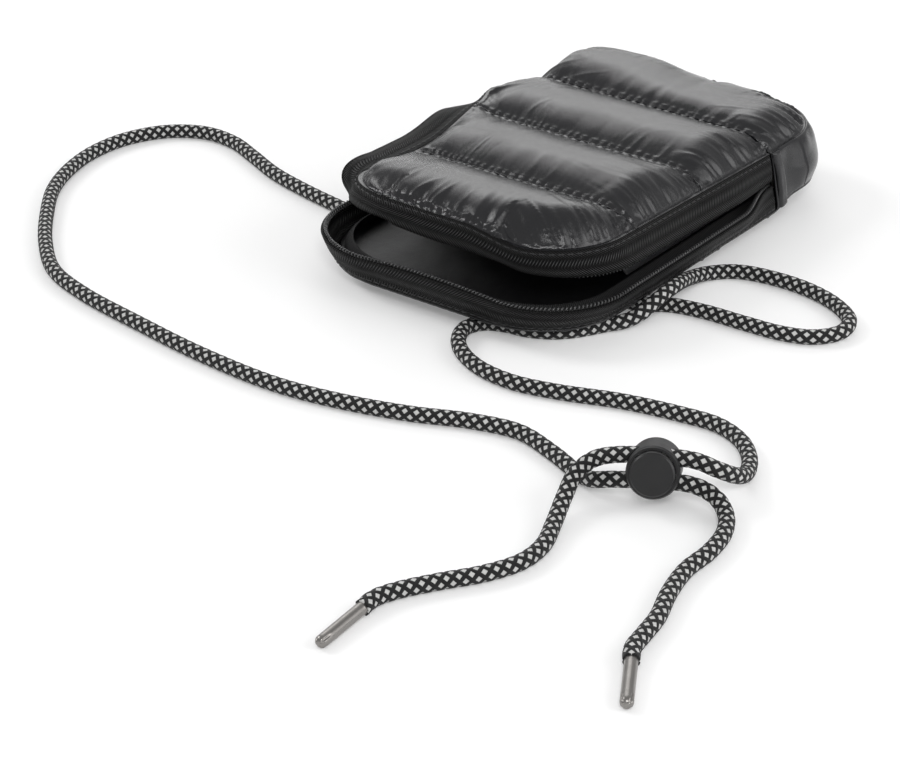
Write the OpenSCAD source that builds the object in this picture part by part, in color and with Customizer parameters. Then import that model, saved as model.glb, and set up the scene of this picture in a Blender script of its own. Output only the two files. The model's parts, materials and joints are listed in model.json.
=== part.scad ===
// Quilted zip pouch with a braided shoulder cord, a two-hole cord lock and metal cord tips.
// Millimetres, +Z up. The mouth faces -Y, the hinge end +Y. The origin is the middle of the
// pouch's footprint on the surface that its back puffs rest on.

/* [Pouch] */
// Width of the front panel between its side seams
front_w = 108; // [96:1:126]
// Length of the front panel from the mouth seam to the end seam
front_l = 175; // [168:1:200]
// Corner radius of both panels at the mouth
corner_r = 32; // [26:1:36]
// Corner radius of both panels at the hinge end
end_r = 26; // [24:1:32]
// How much further each side of the back panel reaches than the front panel
back_side_grow = 3.5; // [2.5:0.5:6]
// How much further the back panel's mouth reaches than the front panel's
back_mouth_grow = 7; // [5:0.5:9]
// Height of the side wall from the back rim to the front rim, zip shut
side_h = 22; // [21.5:0.5:24]
// Height of the back panel's rim above the ground
rim_h = 6; // [5.95:0.05:6.5]
// Thickness of the sewn rim of a quilted panel
rim_t = 0.6; // [0.5:0.1:1]
// Angle by which the lid stands open as it lies
lid_open = 2; // [1.5:0.25:2.25]
// Gap between the lid and the fixed end of the pouch along the hinge seam
hinge_gap = 0.6; // [0.5:0.1:1]
// Height of the hinge line above the front's seams
hinge_rise = 1.8; // [1:0.2:2.4]

/* [Quilting] */
// Number of quilted channels in a panel
channels = 4; // [3:1:4]
// Length of a channel from seam to seam
channel_l = 45; // [43:0.5:47]
// Height of the front puffs above their seams
front_crown = 6; // [5:0.2:8]
// Height of the front's seams above its rim, away from the rim
front_dome = 4; // [2:0.25:5]
// Depth of the back puffs below the rim before the ground flattens them
back_crown = 6.5; // [6.5:0.1:7]
// Width of the flat rim round the front puffs
front_border = 1.5; // [1:0.5:3]
// Width of the flat rim round the back puffs
back_border = 10; // [9.5:0.5:12]
// Half width of the flat land along each seam of the back panel
back_land = 4; // [3.8:0.2:5]
// Distance over which a puff rounds off at the side rim
side_round = 16; // [12:1:20]

/* [Zip] */
// What is left of the side wall's height for the shut chain between the two halves of tape
chain_gap = 1.6; // [1.4:0.1:1.8]
// Thickness of the zip tape
tape_t = 0.9; // [0.7:0.1:1]
// Width of one row of coil
coil_w = 2.2; // [1.8:0.1:2.2]
// Thickness of one row of coil
coil_t = 1.8; // [1.5:0.1:1.8]
// How far the shut zip's edges lie outside the front panel's rim
zip_out = 2; // [1.8:0.1:2.2]
// How far the open upper tape flares out at the sides
upper_flare = 5.3; // [4.5:0.1:5.5]
// How far the open upper tape leans in at the mouth
upper_lean = 1; // [0:0.25:1.5]
// How far the open lower tape flares out at the sides
lower_flare = 5; // [4:0.1:5.5]
// How far the open lower tape flares out at the mouth
lower_mouth_flare = 2; // [1:0.25:3]
// Length over which the near side's zip opens up
near_fade_l = 28; // [20:1:30]
// Length over which the far side's zip opens up
far_fade_l = 18; // [15:1:20]
// Length of upper zip that the slider holds shut
held_l = 21; // [20.5:0.5:22]

/* [Zip slider] */
// Length of the slider along the zip
slider_l = 14; // [12:0.5:15]
// Thickness of the slider's outer plate
slider_outer_t = 1.2; // [1:0.1:1.3]
// Thickness of the slider's inner plate
slider_inner_t = 1; // [0.8:0.1:1.2]
// Height of the slider's bail above its plate
bail_h = 2.5; // [2.4:0.1:2.7]
// Length of the puller
puller_l = 26; // [20:1:28]
// Width of the puller
puller_w = 7; // [6:0.5:8]
// Thickness of the puller
puller_t = 1.3; // [1.1:0.1:1.3]
// Angle by which the resting puller stands off the pouch
puller_lift = 5; // [5:0.5:6]

/* [Lining and pocket] */
// Thickness of the wadding behind a panel
wadding_t = 1.4; // [1:0.1:1.6]
// Thickness of the lining cloth
lining_t = 0.6; // [0.5:0.1:0.8]
// Distance from the rim to the lining's edge
lining_inset = 1.6; // [1.5:0.1:2.5]
// Height of the seam binding inside the back rim
binding_h = 4.6; // [3.5:0.1:5]
// Distance from the back rim to each side of the inner pocket
pocket_inset = 11.5; // [11.5:0.5:16]
// Distance from the mouth seam to the pocket's opening
pocket_y = 48; // [40:1:60]
// Length of the inner pocket
pocket_l = 76; // [60:1:78]
// Height of the pocket's pleated sides
pocket_h = 8.4; // [8:0.1:8.6]
// Depth of the inward pleat in each side of the pocket
pleat = 4; // [2.5:0.5:5]
// Thickness of the hinge end's outer cloth
gusset_t = 0.8; // [0.6:0.1:1]
// How far the hinge end's wall bulges out
gusset_bulge = 3; // [2:0.25:4]
// Width of the folded tab over a zip end
tab_w = 5; // [4:0.5:6]
// Thickness of the folded tab over a zip end
tab_t = 1.3; // [1:0.1:1.3]

/* [Cord] */
// Diameter of the cord
cord_d = 5.3; // [5:0.1:5.5]
// Diameter of a metal cord tip
aglet_d = 4.1; // [3.5:0.1:5]
// Length of a metal cord tip
aglet_l = 22; // [15:1:28]
// Width of a webbing loop along the cord
loop_w = 8; // [6:0.5:12]
// Thickness of a webbing loop
loop_t = 0.5; // [0.4:0.05:0.6]
// Distance of each webbing loop's middle from the pouch's middle
loop_x = 42; // [38:1:42]

/* [Cord lock] */
// Outer diameter of the lock's barrel
barrel_d = 17; // [16.6:0.1:17.1]
// Length of the lock's barrel
barrel_l = 16; // [16:0.5:19]
// Wall of the lock's barrel
barrel_wall = 1.35; // [1.2:0.05:1.4]
// Thickness of the barrel's closed end
barrel_floor = 1.4; // [1.2:0.1:1.6]
// Running clearance of the plunger all round
plunger_gap = 0.1; // [0.05:0.01:0.1]
// Clearance between a cord and its hole all round
hole_gap = 0.15; // [0.12:0.01:0.2]
// How far the plunger can be pressed in
plunger_travel = 3; // [2.5:0.1:3]
// How far the plunger stands out of the barrel
plunger_out = 3.3; // [3.2:0.1:4]
// Wire diameter of the lock's spring
spring_wire = 0.5; // [0.4:0.05:0.5]

/* [Hidden] */

// Clearance between soft neighbours, the overrun of every cut, and the fineness of round shapes
soft_gap = 0.3;
over = 1;
$fn = 48;

// Heights of the layers, from the ground up
floor_z = rim_h + rim_t;
lining_z = floor_z + wadding_t + lining_t;
front_z = floor_z + side_h;
hinge_z = front_z + rim_t + front_dome + hinge_rise;

// Visible width of one half of the zip tape
tape_w = (side_h - chain_gap) / 2;

// Driving places along the pouch, measured from the front panel's mouth seam
half_front = front_w / 2;
half_back = half_front + back_side_grow;
half_zip = half_front + zip_out;
hinge_y = front_l - channel_l;
straight_y = corner_r + over;
mouth_reach = back_mouth_grow + lower_mouth_flare;
mid_y = (front_l + gusset_bulge - mouth_reach) / 2;

// Colours of the cloth, the zip, the cord and the metal
cloth = [0.17, 0.17, 0.18];
lining_cloth = [0.1, 0.1, 0.11];
grey_cloth = [0.3, 0.3, 0.32];
tape_cloth = [0.08, 0.08, 0.08];
coil_nylon = [0.14, 0.14, 0.14];
wadding_white = [0.85, 0.85, 0.83];
braid = [0.35, 0.35, 0.35];
gunmetal = [0.3, 0.29, 0.28];
lock_plastic = [0.06, 0.06, 0.06];
spring_steel = [0.7, 0.7, 0.72];

// Joins a list of rings of equal length into one closed skin with flat ends. Where asked, its quads
// are split along their other diagonal, so that two skins can lie face to face.
module skin(rings, other = false) {
    n = len(rings[0]);
    m = len(rings);
    polyhedron(
        points = [for (ring = rings) each ring],
        faces = concat(
            [[for (j = [0 : n - 1]) j]],
            [[for (j = [n - 1 : -1 : 0]) (m - 1) * n + j]],
            [for (i = [0 : m - 2], j = [0 : n - 1], half = [0, 1])
                let (a = i * n + j, b = i * n + (j + 1) % n)
                other ? (half == 0 ? [a, a + n, b] : [b, a + n, b + n])
                : half == 0 ? [a, b + n, b] : [a, a + n, b + n]]),
        convexity = 8);
}

// Small helpers for lengths, directions and smooth steps
function unit(v) = v / norm(v);
function mean(a, b) = (a + b) / 2;
function clamp(v, low, high) = max(low, min(high, v));
function smooth(t) = let (c = clamp(t, 0, 1)) c * c * (3 - 2 * c);

// Moves the pouch so that the origin is under its middle
module seat() translate([0, -mid_y, 0]) children();

// Turns the lid up about the hinge seam, from shut to the pose in which it lies
module lid_pose()
    seat() translate([0, hinge_y, hinge_z]) rotate([-lid_open, 0, 0])
        translate([0, -hinge_y, -hinge_z]) children();

// Half width of a rounded panel at a place along it
function half_at(y, half, y0, y1) =
    y < y0 + corner_r ? half - corner_r + sqrt(max(0, pow(corner_r, 2) - pow(y0 + corner_r - y, 2)))
    : y > y1 - end_r ? half - end_r + sqrt(max(0, pow(end_r, 2) - pow(y - y1 + end_r, 2)))
    : half;

// Distance of a point of a rounded panel from the rim beside it
function inset(x, y, half, y0, y1) =
    let (
        r = y < mean(y0, y1) ? corner_r : end_r,
        across = abs(x) - half + r,
        along = max(0, y0 + r - y, y - y1 + r))
    across > 0 ? r - norm([across, along]) : r - across;

// Puff height shares across a channel and towards a side rim
channel_power = 2.6;
side_power = 2.2;
function channel_share(t) = 1 - pow(abs(2 * t - 1), channel_power);
function side_share(d) = 1 - pow(1 - clamp(d / side_round, 0, 1), side_power);

// Places of the rows along a channel and of the columns across a panel
row_shares = [0.015, 0.05, 0.13, 0.24, 0.37, 0.5, 0.63, 0.76, 0.87, 0.95, 0.985];
column_shares = [1, 0.975, 0.93, 0.86, 0.76, 0.6, 0.4, 0.2, 0, -0.2, -0.4, -0.6, -0.76, -0.86,
    -0.93, -0.975, -1];

// One row of a quilted panel. The puffs go up from z for side = 1 and down for side = -1, no
// lower than the ground. Upwards, the whole panel is domed. The cloth bows a little across it.
cloth_bow = 0.05;
function quilt_row(y, t, half, y0, y1, border, crown, z, side) =
    let (
        edge_x = half_at(y, half, y0, y1),
        far = z + side * rim_t,
        dome = side > 0 ? front_dome * side_share(min(y - y0, y1 - y)) : 0,
        top = [for (s = column_shares)
            let (
                d = inset(s * edge_x, y, half, y0, y1) - border,
                h = (crown * channel_share(t) + dome) * side_share(d) + cloth_bow * (1 - s * s))
            [s * edge_x, y, side > 0 ? far + h : max(0, z - h)]],
        edge = side > 0 ? z : z + rim_t)
    side > 0 ? concat(top, [[-edge_x, y, edge], [edge_x, y, edge]])
        : concat([[edge_x, y, edge], [-edge_x, y, edge]],
            [for (i = [len(top) - 1 : -1 : 0]) top[i]]);

// Rows of one channel: its seam, the flat land beside it where there is one, and the puff
function channel_rows(a, b, land_a, land_b) = concat(
    [[a, 0]],
    land_a > 0 ? [[a + land_a, 0]] : [],
    [for (s = row_shares) [a + land_a + (b - a - land_a - land_b) * s, s]],
    land_b > 0 ? [[b - land_b, 0]] : []);

// A quilted panel whose channels lie between the given seams; the ends y0 and y1 round its
// corners. Every seam has flat land on both sides, and the ends are flat as far as the border.
module quilt(seams, half, y0, y1, border, land, crown, z, side) {
    last = len(seams) - 1;
    rows = concat(
        [for (c = [0 : last - 1]) each channel_rows(seams[c], seams[c + 1],
            c == 0 && land > 0 ? border : land, c == last - 1 && land > 0 ? border : land)],
        [[seams[last], 0]]);
    skin([for (r = rows) quilt_row(r[0], r[1], half, y0, y1, border, crown, z, side)]);
}

// Seams of a panel, counted back from the hinge end
function seam_y(i) = front_l - (channels - i) * channel_l;
function inner_seams(first, last) = [for (i = [first : last]) seam_y(i)];

// A flat plate that lies the given distance inside a panel's rim, with two rounded corners at its
// mouth end, and at its far end too where asked
module plate(half, y0, y1, in, z, t, round_end = false) {
    r = corner_r - in;
    far_r = end_r - in;
    end_y = round_end ? y1 - far_r : y1;
    translate([0, 0, z]) linear_extrude(t) {
        translate([-half, y0 + r]) square([2 * half, end_y - y0 - r]);
        translate([-half + r, y0]) square([2 * (half - r), end_y - y0]);
        if (round_end) translate([-half + far_r, y0 + r]) square([2 * (half - far_r), y1 - y0 - r]);
        for (side = [-1, 1]) {
            translate([side * (half - r), y0 + r]) circle(r);
            if (round_end) translate([side * (half - far_r), y1 - far_r]) circle(far_r);
        }
    }
}

// Front panel, wadding and lining of the lid
module front_panel() color(cloth) lid_pose()
    quilt(concat([0], inner_seams(1, channels - 2), [hinge_y - hinge_gap / 2]),
        half_front, 0, front_l, front_border, 0, front_crown, front_z, 1);

module front_wadding() color(wadding_white) lid_pose()
    plate(half_front - lining_inset, lining_inset, hinge_y - hinge_gap, lining_inset,
        front_z - wadding_t, wadding_t);

module front_lining() color(lining_cloth) lid_pose()
    plate(half_front - lining_inset, lining_inset, hinge_y - hinge_gap, lining_inset,
        front_z - wadding_t - lining_t, lining_t);

// The fixed last channel of the front, with its own wadding and lining
module end_panel() color(cloth) seat()
    quilt([hinge_y + hinge_gap / 2, front_l], half_front, 0, front_l, front_border, 0,
        front_crown, front_z, 1);

module end_plate(z, t)
    difference() {
        plate(half_front - lining_inset, 0, front_l - lining_inset, lining_inset, z, t, true);
        translate([-front_w, -over, z - over])
            cube([2 * front_w, hinge_y + hinge_gap + over, t + 2 * over]);
    }

module end_wadding() color(wadding_white) seat() end_plate(front_z - wadding_t, wadding_t);

module end_lining() color(lining_cloth) seat() end_plate(front_z - wadding_t - lining_t, lining_t);

// Back panel. The cord runs in the land along its first seam.
module back_panel() color(cloth) seat()
    quilt(concat([-back_mouth_grow], inner_seams(1, channels - 1), [front_l]),
        half_back, -back_mouth_grow, front_l, back_border, back_land, back_crown, rim_h, -1);

module back_wadding() color(wadding_white) seat()
    plate(half_back - lining_inset, -back_mouth_grow + lining_inset, front_l - lining_inset,
        lining_inset, floor_z, wadding_t, true);

module back_lining() color(lining_cloth) seat()
    plate(half_back - lining_inset, -back_mouth_grow + lining_inset, front_l - lining_inset,
        lining_inset, floor_z + wadding_t, lining_t, true);

// Stations round the open side: [side, place] on a straight side, [side, angle, "arc"] on a corner
arc_steps = 8;
near_end_y = hinge_y - over;
side_steps = 4;
near_stations = concat(
    [for (i = [0 : side_steps]) [1, near_end_y - near_fade_l * i / side_steps]],
    [for (i = [1 : side_steps])
        [1, near_end_y - near_fade_l - (near_end_y - near_fade_l - straight_y) * i / side_steps]]);
corner_stations = concat(
    [for (i = [0 : arc_steps]) [1, 90 * i / arc_steps, "arc"]],
    [for (i = [arc_steps : -1 : 0]) [-1, 90 * i / arc_steps, "arc"]]);
far_stations = [for (i = [0 : side_steps]) [-1, straight_y + far_fade_l * i / side_steps]];

// Point and outward direction of a station on an outline of the given half width and mouth place
function is_arc(s) = len(s) == 3;
function rim_out(s) = is_arc(s) ? [s[0] * cos(s[1]), -sin(s[1]), 0] : [s[0], 0, 0];
function rim_point(s, half, y0, z) = is_arc(s)
    ? [s[0] * (half - corner_r + corner_r * cos(s[1])), y0 + corner_r - corner_r * sin(s[1]), z]
    : [s[0] * half, s[1], z];

// How far the zip has opened up at a station, from 0 to 1
function openness(s) = is_arc(s) ? 1
    : s[0] > 0 ? smooth((near_end_y - s[1]) / near_fade_l)
    : 1 - smooth((s[1] - straight_y) / far_fade_l);

// Free edge of a tape that starts at rim point p and leans to plan point q; up = 1 or -1
function tape_edge(p, q, up) =
    let (d = norm([q[0] - p[0], q[1] - p[1]]))
    [q[0], q[1], p[2] + up * sqrt(tape_w * tape_w - d * d)];
function open_edge(s, p, half, y0, up) =
    let (
        shut = rim_point(s, half_zip, -back_mouth_grow / 2, p[2]),
        flared = rim_point(s, half, y0, p[2]),
        w = openness(s))
    tape_edge(p, shut * (1 - w) + flared * w, up);

function upper_rim(s) = rim_point(s, half_front, 0, front_z);
function upper_edge(s) = open_edge(s, upper_rim(s), half_front + upper_flare, upper_lean, -1);
function lower_rim(s) = rim_point(s, half_back, -back_mouth_grow, floor_z);
function lower_edge(s) =
    open_edge(s, lower_rim(s), half_back + lower_flare, -mouth_reach, 1);

// A tape between its rim and its edge, and a coil along the edge's inner face, whose root line is
// a point of the tape too. Rings keep one sense of turning whether the tape goes up or down.
function coil_root(s, p, e) = e - (tape_t + cloth_bow) * rim_out(s) + coil_w * unit(p - e);
function tape_ring(s, p, e, up) =
    let (inward = -tape_t * rim_out(s), b = coil_root(s, p, e))
    up > 0 ? [p, e, e + inward, b, p + inward] : [e, p, p + inward, b, e + inward];
function coil_ring(s, p, e, up) =
    let (
        a = e - tape_t * rim_out(s),
        b = coil_root(s, p, e),
        deep = -coil_t * rim_out(s))
    up > 0 ? [b, a, a + deep, b + deep] : [a, b, b + deep, a + deep];

// Upper zip: full height round the open side, narrow above the stretch that the slider holds
held_y = hinge_y - held_l;
narrow_share = 0.35;
full_far_stations = concat(far_stations, [[-1, mean(straight_y + far_fade_l, held_y)], [-1, held_y]]);
narrow_stations = [[-1, held_y + soft_gap], [-1, near_end_y]];
upper_stations = concat(near_stations, corner_stations, full_far_stations);

function narrow_edge(s) =
    let (p = upper_rim(s), e = upper_edge(s)) p + (e - p) * narrow_share;

module upper_tape() color(tape_cloth) lid_pose()
    skin(concat(
        [for (s = upper_stations) tape_ring(s, upper_rim(s), upper_edge(s), -1)],
        [for (s = narrow_stations) tape_ring(s, upper_rim(s), narrow_edge(s), -1)]));

module upper_coil() color(coil_nylon) lid_pose()
    skin([for (s = upper_stations) coil_ring(s, upper_rim(s), upper_edge(s), -1)], true);

// The stretch of upper zip that stays in the slider, with its coil
zip_end_y = hinge_y + over / 2;
held_stations = [[-1, held_y + 3 * soft_gap], [-1, zip_end_y]];
function held_top(s) = narrow_edge(s) - [0, 0, soft_gap];
module held_zip() color(tape_cloth) seat() {
    skin([for (s = held_stations) tape_ring(s, held_top(s), upper_edge(s), -1)]);
    skin([for (s = held_stations) coil_ring(s, held_top(s), upper_edge(s), -1)], true);
}

// Lower zip, whole from one zip end to the other
lower_stations = concat([[1, zip_end_y]], near_stations, corner_stations, far_stations,
    [[-1, mean(straight_y + far_fade_l, held_y)], [-1, held_y], [-1, zip_end_y]]);

module lower_tape() color(tape_cloth) seat()
    skin([for (s = lower_stations) tape_ring(s, lower_rim(s), lower_edge(s), 1)]);

module lower_coil() color(coil_nylon) seat()
    skin([for (s = lower_stations) coil_ring(s, lower_rim(s), lower_edge(s), 1)], true);

// Binding sewn over the inner seam of the back rim; it leans into the pouch
binding_lean_share = 0.6;
function binding_ring(s) =
    let (
        foot = rim_point(s, half_back - lining_inset, lining_inset - back_mouth_grow, lining_z)
            - tape_t * rim_out(s),
        top = foot - binding_lean_share * binding_h * rim_out(s) + [0, 0, binding_h])
    [foot, top, top - lining_t * rim_out(s), foot - lining_t * rim_out(s)];
module rim_binding() color(tape_cloth) seat()
    skin([for (s = concat(near_stations, corner_stations, full_far_stations)) binding_ring(s)]);

// Stations round the hinge end, and a wall there of the given place and thickness
gusset_y = zip_end_y + soft_gap;
swell_y = gusset_y + tab_w;
end_stations = concat(
    [[1, gusset_y], [1, swell_y], [1, mean(swell_y, front_l - end_r)]],
    [for (i = [0 : arc_steps]) [1, 90 * i / arc_steps, "arc"]],
    [for (i = [arc_steps : -1 : 0]) [-1, 90 * i / arc_steps, "arc"]],
    [[-1, mean(swell_y, front_l - end_r)], [-1, swell_y], [-1, gusset_y]]);
function end_out(s) = is_arc(s) ? [s[0] * cos(s[1]), sin(s[1]), 0] : [s[0], 0, 0];
function end_point(s, half, z) = is_arc(s)
    ? [s[0] * (half - end_r + end_r * cos(s[1])), front_l - end_r * (1 - sin(s[1])), z]
    : [s[0] * half, s[1], z];

// The wall swells from a little under the tabs to its full bulge at the corners
bulge_from_share = 0.25;
function bulge(s) = gusset_bulge * (is_arc(s) ? 1
    : bulge_from_share + (1 - bulge_from_share)
        * smooth((s[1] - swell_y) / (front_l - end_r - swell_y)));
wall_shares = [0, 0.12, 0.3, 0.5, 0.7, 0.88, 1];
function wall_line(s, low, high, in) = [for (t = wall_shares)
    let (
        foot = end_point(s, half_back, low),
        head = end_point(s, half_front, high),
        swell = bulge(s) * (1 - pow(2 * t - 1, 2)))
    foot + (head - foot) * t + (swell - in) * end_out(s)];
function wall_ring(s, low, high, in, t) =
    concat([for (p = wall_line(s, low, high, in)) p],
        [for (i = [len(wall_shares) - 1 : -1 : 0]) wall_line(s, low, high, in + t)[i]]);

module end_gusset() color(cloth) seat()
    skin([for (s = end_stations) wall_ring(s, floor_z, front_z, 0, gusset_t)]);

// The lining stands clear of the wadding plates and of the zip stops
module gusset_lining() color(lining_cloth) seat()
    skin([for (s = end_stations) if (is_arc(s) || s[1] > gusset_y)
        wall_ring(s, lining_z, front_z - wadding_t - lining_t, lining_gap, lining_t)]);
lining_gap = gusset_t + lining_inset + soft_gap;

// Folded tabs over the zip ends, outside the end wall
module tab(side) color(cloth) seat() translate([0, swell_y, 0]) rotate([90, 0, 0])
    linear_extrude(tab_w) polygon([
        for (p = wall_ring([side, gusset_y], floor_z, front_z, -tab_t, tab_t)) [p[0], p[2]]]);
module near_tab() tab(1);
module far_tab() tab(-1);

// Metal stops across both coils at the zip ends, inside the end wall
stop_l = 2;
module zip_stop(side) seat()
    translate([side * (half_zip - tape_t - coil_t / 2), gusset_y + stop_l / 2, chain_z])
        cube([coil_t, stop_l, stop_h], center = true);
stop_h = 2 * coil_w + side_h - 2 * tape_w;
module near_stop() color(gunmetal) zip_stop(1);
module far_stop() color(gunmetal) zip_stop(-1);

// Zip slider: local x points out of the pouch, y along the zip, z up; its middle is on the chain
shut_low_z = floor_z + sqrt(tape_w * tape_w - pow(half_back - half_zip, 2));
shut_high_z = front_z - sqrt(tape_w * tape_w - pow(zip_out, 2));
chain_z = mean(shut_low_z, shut_high_z);
slider_y = hinge_y - held_l / 2;
lip = 0.9;
coil_rise = 2.7;
coil_lean = coil_w * zip_out / tape_w;
slot_in = tape_t + coil_t + coil_lean + soft_gap;
slot_out = 3 * soft_gap;
slider_low = shut_low_z - coil_w - chain_z - soft_gap;
slider_high = shut_high_z + coil_w - chain_z + coil_rise;
lower_lip = coil_t + soft_gap / 3;
upper_lip = coil_t / 3;
nose_l = 4;
post_t = (shut_high_z - shut_low_z) - 2 * soft_gap;
module slider_place() seat() translate([-half_zip, slider_y, chain_z]) mirror([1, 0, 0]) children();

// Plate outline in the zip's plane, cut in at its tail like a shield
tail_share = 0.7;
module shield(thick) {
    h = slider_high - slider_low + 2 * lip;
    z0 = slider_low - lip;
    cut = h * (1 - tail_share) / 2;
    rotate([90, 0, 90]) linear_extrude(thick) polygon([
        [-slider_l / 2, z0], [slider_l / 4, z0], [slider_l / 2, z0 + cut],
        [slider_l / 2, z0 + h - cut], [slider_l / 4, z0 + h], [-slider_l / 2, z0 + h]]);
}

bail_l = 10;
bail_w = 2.2;
bail_bar = 1;
bail_leg = 2;
pin_d = 1.2;
pin_x = slot_out + slider_outer_t + (bail_h - bail_bar) / 2;
module zip_slider() color(gunmetal) slider_place() {
    translate([slot_out, 0, 0]) shield(slider_outer_t);
    translate([-slot_in - slider_inner_t, 0, 0]) shield(slider_inner_t);
    // Lips that hold the coils, and the post that parts them at the nose
    translate([-slot_in, -slider_l / 2, slider_low - lip])
        cube([lower_lip, slider_l * 3 / 4, lip]);
    translate([-slot_in, -slider_l / 2, slider_high])
        cube([upper_lip, slider_l * 3 / 4, lip]);
    translate([-slot_in, -slider_l / 2, -post_t / 2])
        cube([slot_in + slot_out, nose_l, post_t]);
    // Bail: a bridge on two legs over the puller's pin
    translate([slot_out + slider_outer_t, 0, 0]) difference() {
        translate([0, -bail_l / 2, -bail_w / 2]) cube([bail_h, bail_l, bail_w]);
        translate([-over, -bail_l / 2 + bail_leg, -bail_w])
            cube([over + bail_h - bail_bar, bail_l - 2 * bail_leg, 2 * bail_w]);
    }
}

// Puller: a flat tab with a window that straddles the bail, hung on a pin under the bridge
puller_wall = 1.4;
window_l = bail_l / 2 + 1.4;
puller_head = 1.6;
module puller_outline() {
    translate([0, -puller_w / 2]) square([puller_l - puller_w / 2, puller_w]);
    translate([puller_l - puller_w / 2, 0]) circle(d = puller_w);
}
module zip_puller() color(gunmetal) slider_place()
    translate([pin_x, 0, 0]) rotate([0, 0, 90 - puller_lift]) {
        rotate([90, 0, 0]) translate([0, 0, -puller_t / 2]) linear_extrude(puller_t) difference() {
            puller_outline();
            translate([-over, -bail_w / 2 - soft_gap])
                square([window_l + over, bail_w + 2 * soft_gap]);
            translate([puller_l - puller_w / 2, 0]) circle(d = puller_w - 2 * puller_wall - over);
        }
        cylinder(d = pin_d, h = puller_w, center = true);
    }

// Inner pocket: a front sheet on pleated sides and a closed end, hemmed at its opening
pocket_end_y = pocket_y + pocket_l;
half_pocket = half_back - pocket_inset;
pocket_w = 2 * half_pocket;
hem_w = 6;
module pocket_panel() color(grey_cloth) seat()
    translate([-half_pocket, pocket_y + hem_w, lining_z + pocket_h])
        cube([pocket_w, pocket_l - hem_w, lining_t]);

module pocket_hem() color(grey_cloth) seat()
    translate([-half_pocket, pocket_y, lining_z + pocket_h]) cube([pocket_w, hem_w, 2 * lining_t]);

module pocket_side(side) color(grey_cloth) seat()
    translate([0, pocket_end_y - lining_t - soft_gap, lining_z]) rotate([90, 0, 0])
        linear_extrude(pocket_l - lining_t - soft_gap) polygon([
            [side * half_pocket, 0], [side * (half_pocket - pleat), pocket_h / 2],
            [side * half_pocket, pocket_h], [side * (half_pocket - lining_t), pocket_h],
            [side * (half_pocket - pleat - lining_t), pocket_h / 2],
            [side * (half_pocket - lining_t), 0]]);
module pocket_side_near() pocket_side(1);
module pocket_side_far() pocket_side(-1);

module pocket_end() color(grey_cloth) seat()
    translate([-half_pocket, pocket_end_y - lining_t, lining_z]) cube([pocket_w, lining_t, pocket_h]);

// Cord routes, from the pouch outwards; each point is a round number chosen by hand
near_route = [
    [46, -44.5, 3.3], [50, -44.5, 3.3], [57, -41.5, 2.8], [64.5, -36.5, 2.65], [77, -33.8, 2.65],
    [92, -33.2, 2.65], [107, -32, 2.65], [117, -28, 2.65], [122.5, -20, 2.65],
    [121, -10.5, 2.65], [111.5, -2.5, 2.65], [97, 2.5, 2.65], [81, 3, 2.65],
    [69, 0, 2.65], [61.8, -7.5, 2.9], [60.6, -18, 4.8], [62.5, -27, 7.3], [63.9, -36, 8.6],
    [63.6, -45, 7.4], [62, -52.5, 4.8], [59, -58, 3.3], [55.5, -62, 2.9],
    [52.5, -66.5, 2.65], [48.3, -73, 2.65], [42.5, -78.5, 2.65], [35, -82, 2.65],
    [27.2, -83.3, 2.65], [20.6, -86.4, 2.65], [17.5, -93, 2.65], [20.5, -101.5, 2.65],
    [28, -109, 2.65], [39.5, -114.5, 2.65], [54, -116, 2.65], [70, -112.5, 2.65],
    [90, -105.5, 2.65], [110, -101.5, 2.65], [124, -100.5, 2.65], [135.5, -105, 2.65],
    [144, -113.5, 2.65], [148.8, -123.5, 3.6], [150, -132, 7.2], [147.3, -138.8, 11.6],
    [141.2, -142.9, 14.6], [120, -154.2, 14.6], [114, -158.2, 12.6], [111.6, -164, 9.4],
    [113.2, -172, 5.8], [117.5, -184, 3.2], [121.8, -196, 2.65], [122, -207.5, 2.65],
    [117, -219.5, 2.65], [109, -231, 2.65], [102, -242.5, 2.65], [99.5, -250, 2.8],
    [99.8, -256, 2.65]];
middle_route = [
    [46, -44.5, 3.3], [37, -44.5, 3.3], [28, -44.5, 2.65], [-28, -44.5, 2.65], [-37, -44.5, 3.3],
    [-46, -44.5, 3.3]];
far_route = [
    [-46, -44.5, 3.3], [-50, -44.5, 3.3], [-62, -43.5, 2.65], [-80, -41, 2.65],
    [-100, -37, 2.65], [-118, -32, 2.65], [-135, -24.5, 2.65], [-150, -18.5, 2.65],
    [-165, -18, 2.65], [-178, -26, 2.65], [-186, -41, 2.65], [-187.5, -58, 2.65],
    [-184, -75, 2.65], [-176.5, -92, 2.65], [-164, -109, 2.65], [-146, -129, 2.65],
    [-127, -144.5, 2.65], [-106, -152, 2.65], [-76, -157.5, 2.65], [-42, -162.5, 2.65],
    [-8, -164, 2.65], [18, -160, 2.65], [40, -153.5, 2.65], [58, -146, 2.65],
    [75, -142.5, 2.65], [92, -147.5, 2.65], [106, -153.8, 3], [113.5, -157.3, 5],
    [121.2, -156.3, 7.2], [142.4, -145, 7.2], [150, -144, 5.2], [156.5, -147.9, 3.2],
    [161.5, -156.5, 2.65], [164, -169, 2.65], [164, -182, 2.65], [167, -196, 2.65],
    [171.5, -209, 2.65], [173.4, -219.5, 2.65], [175, -227.3, 2.8], [178, -232.5, 2.65]];
near_tip = [101.1, -277.8, 2.1];
far_tip = [189, -251.5, 2.1];
cord_sides = 8;

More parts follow.
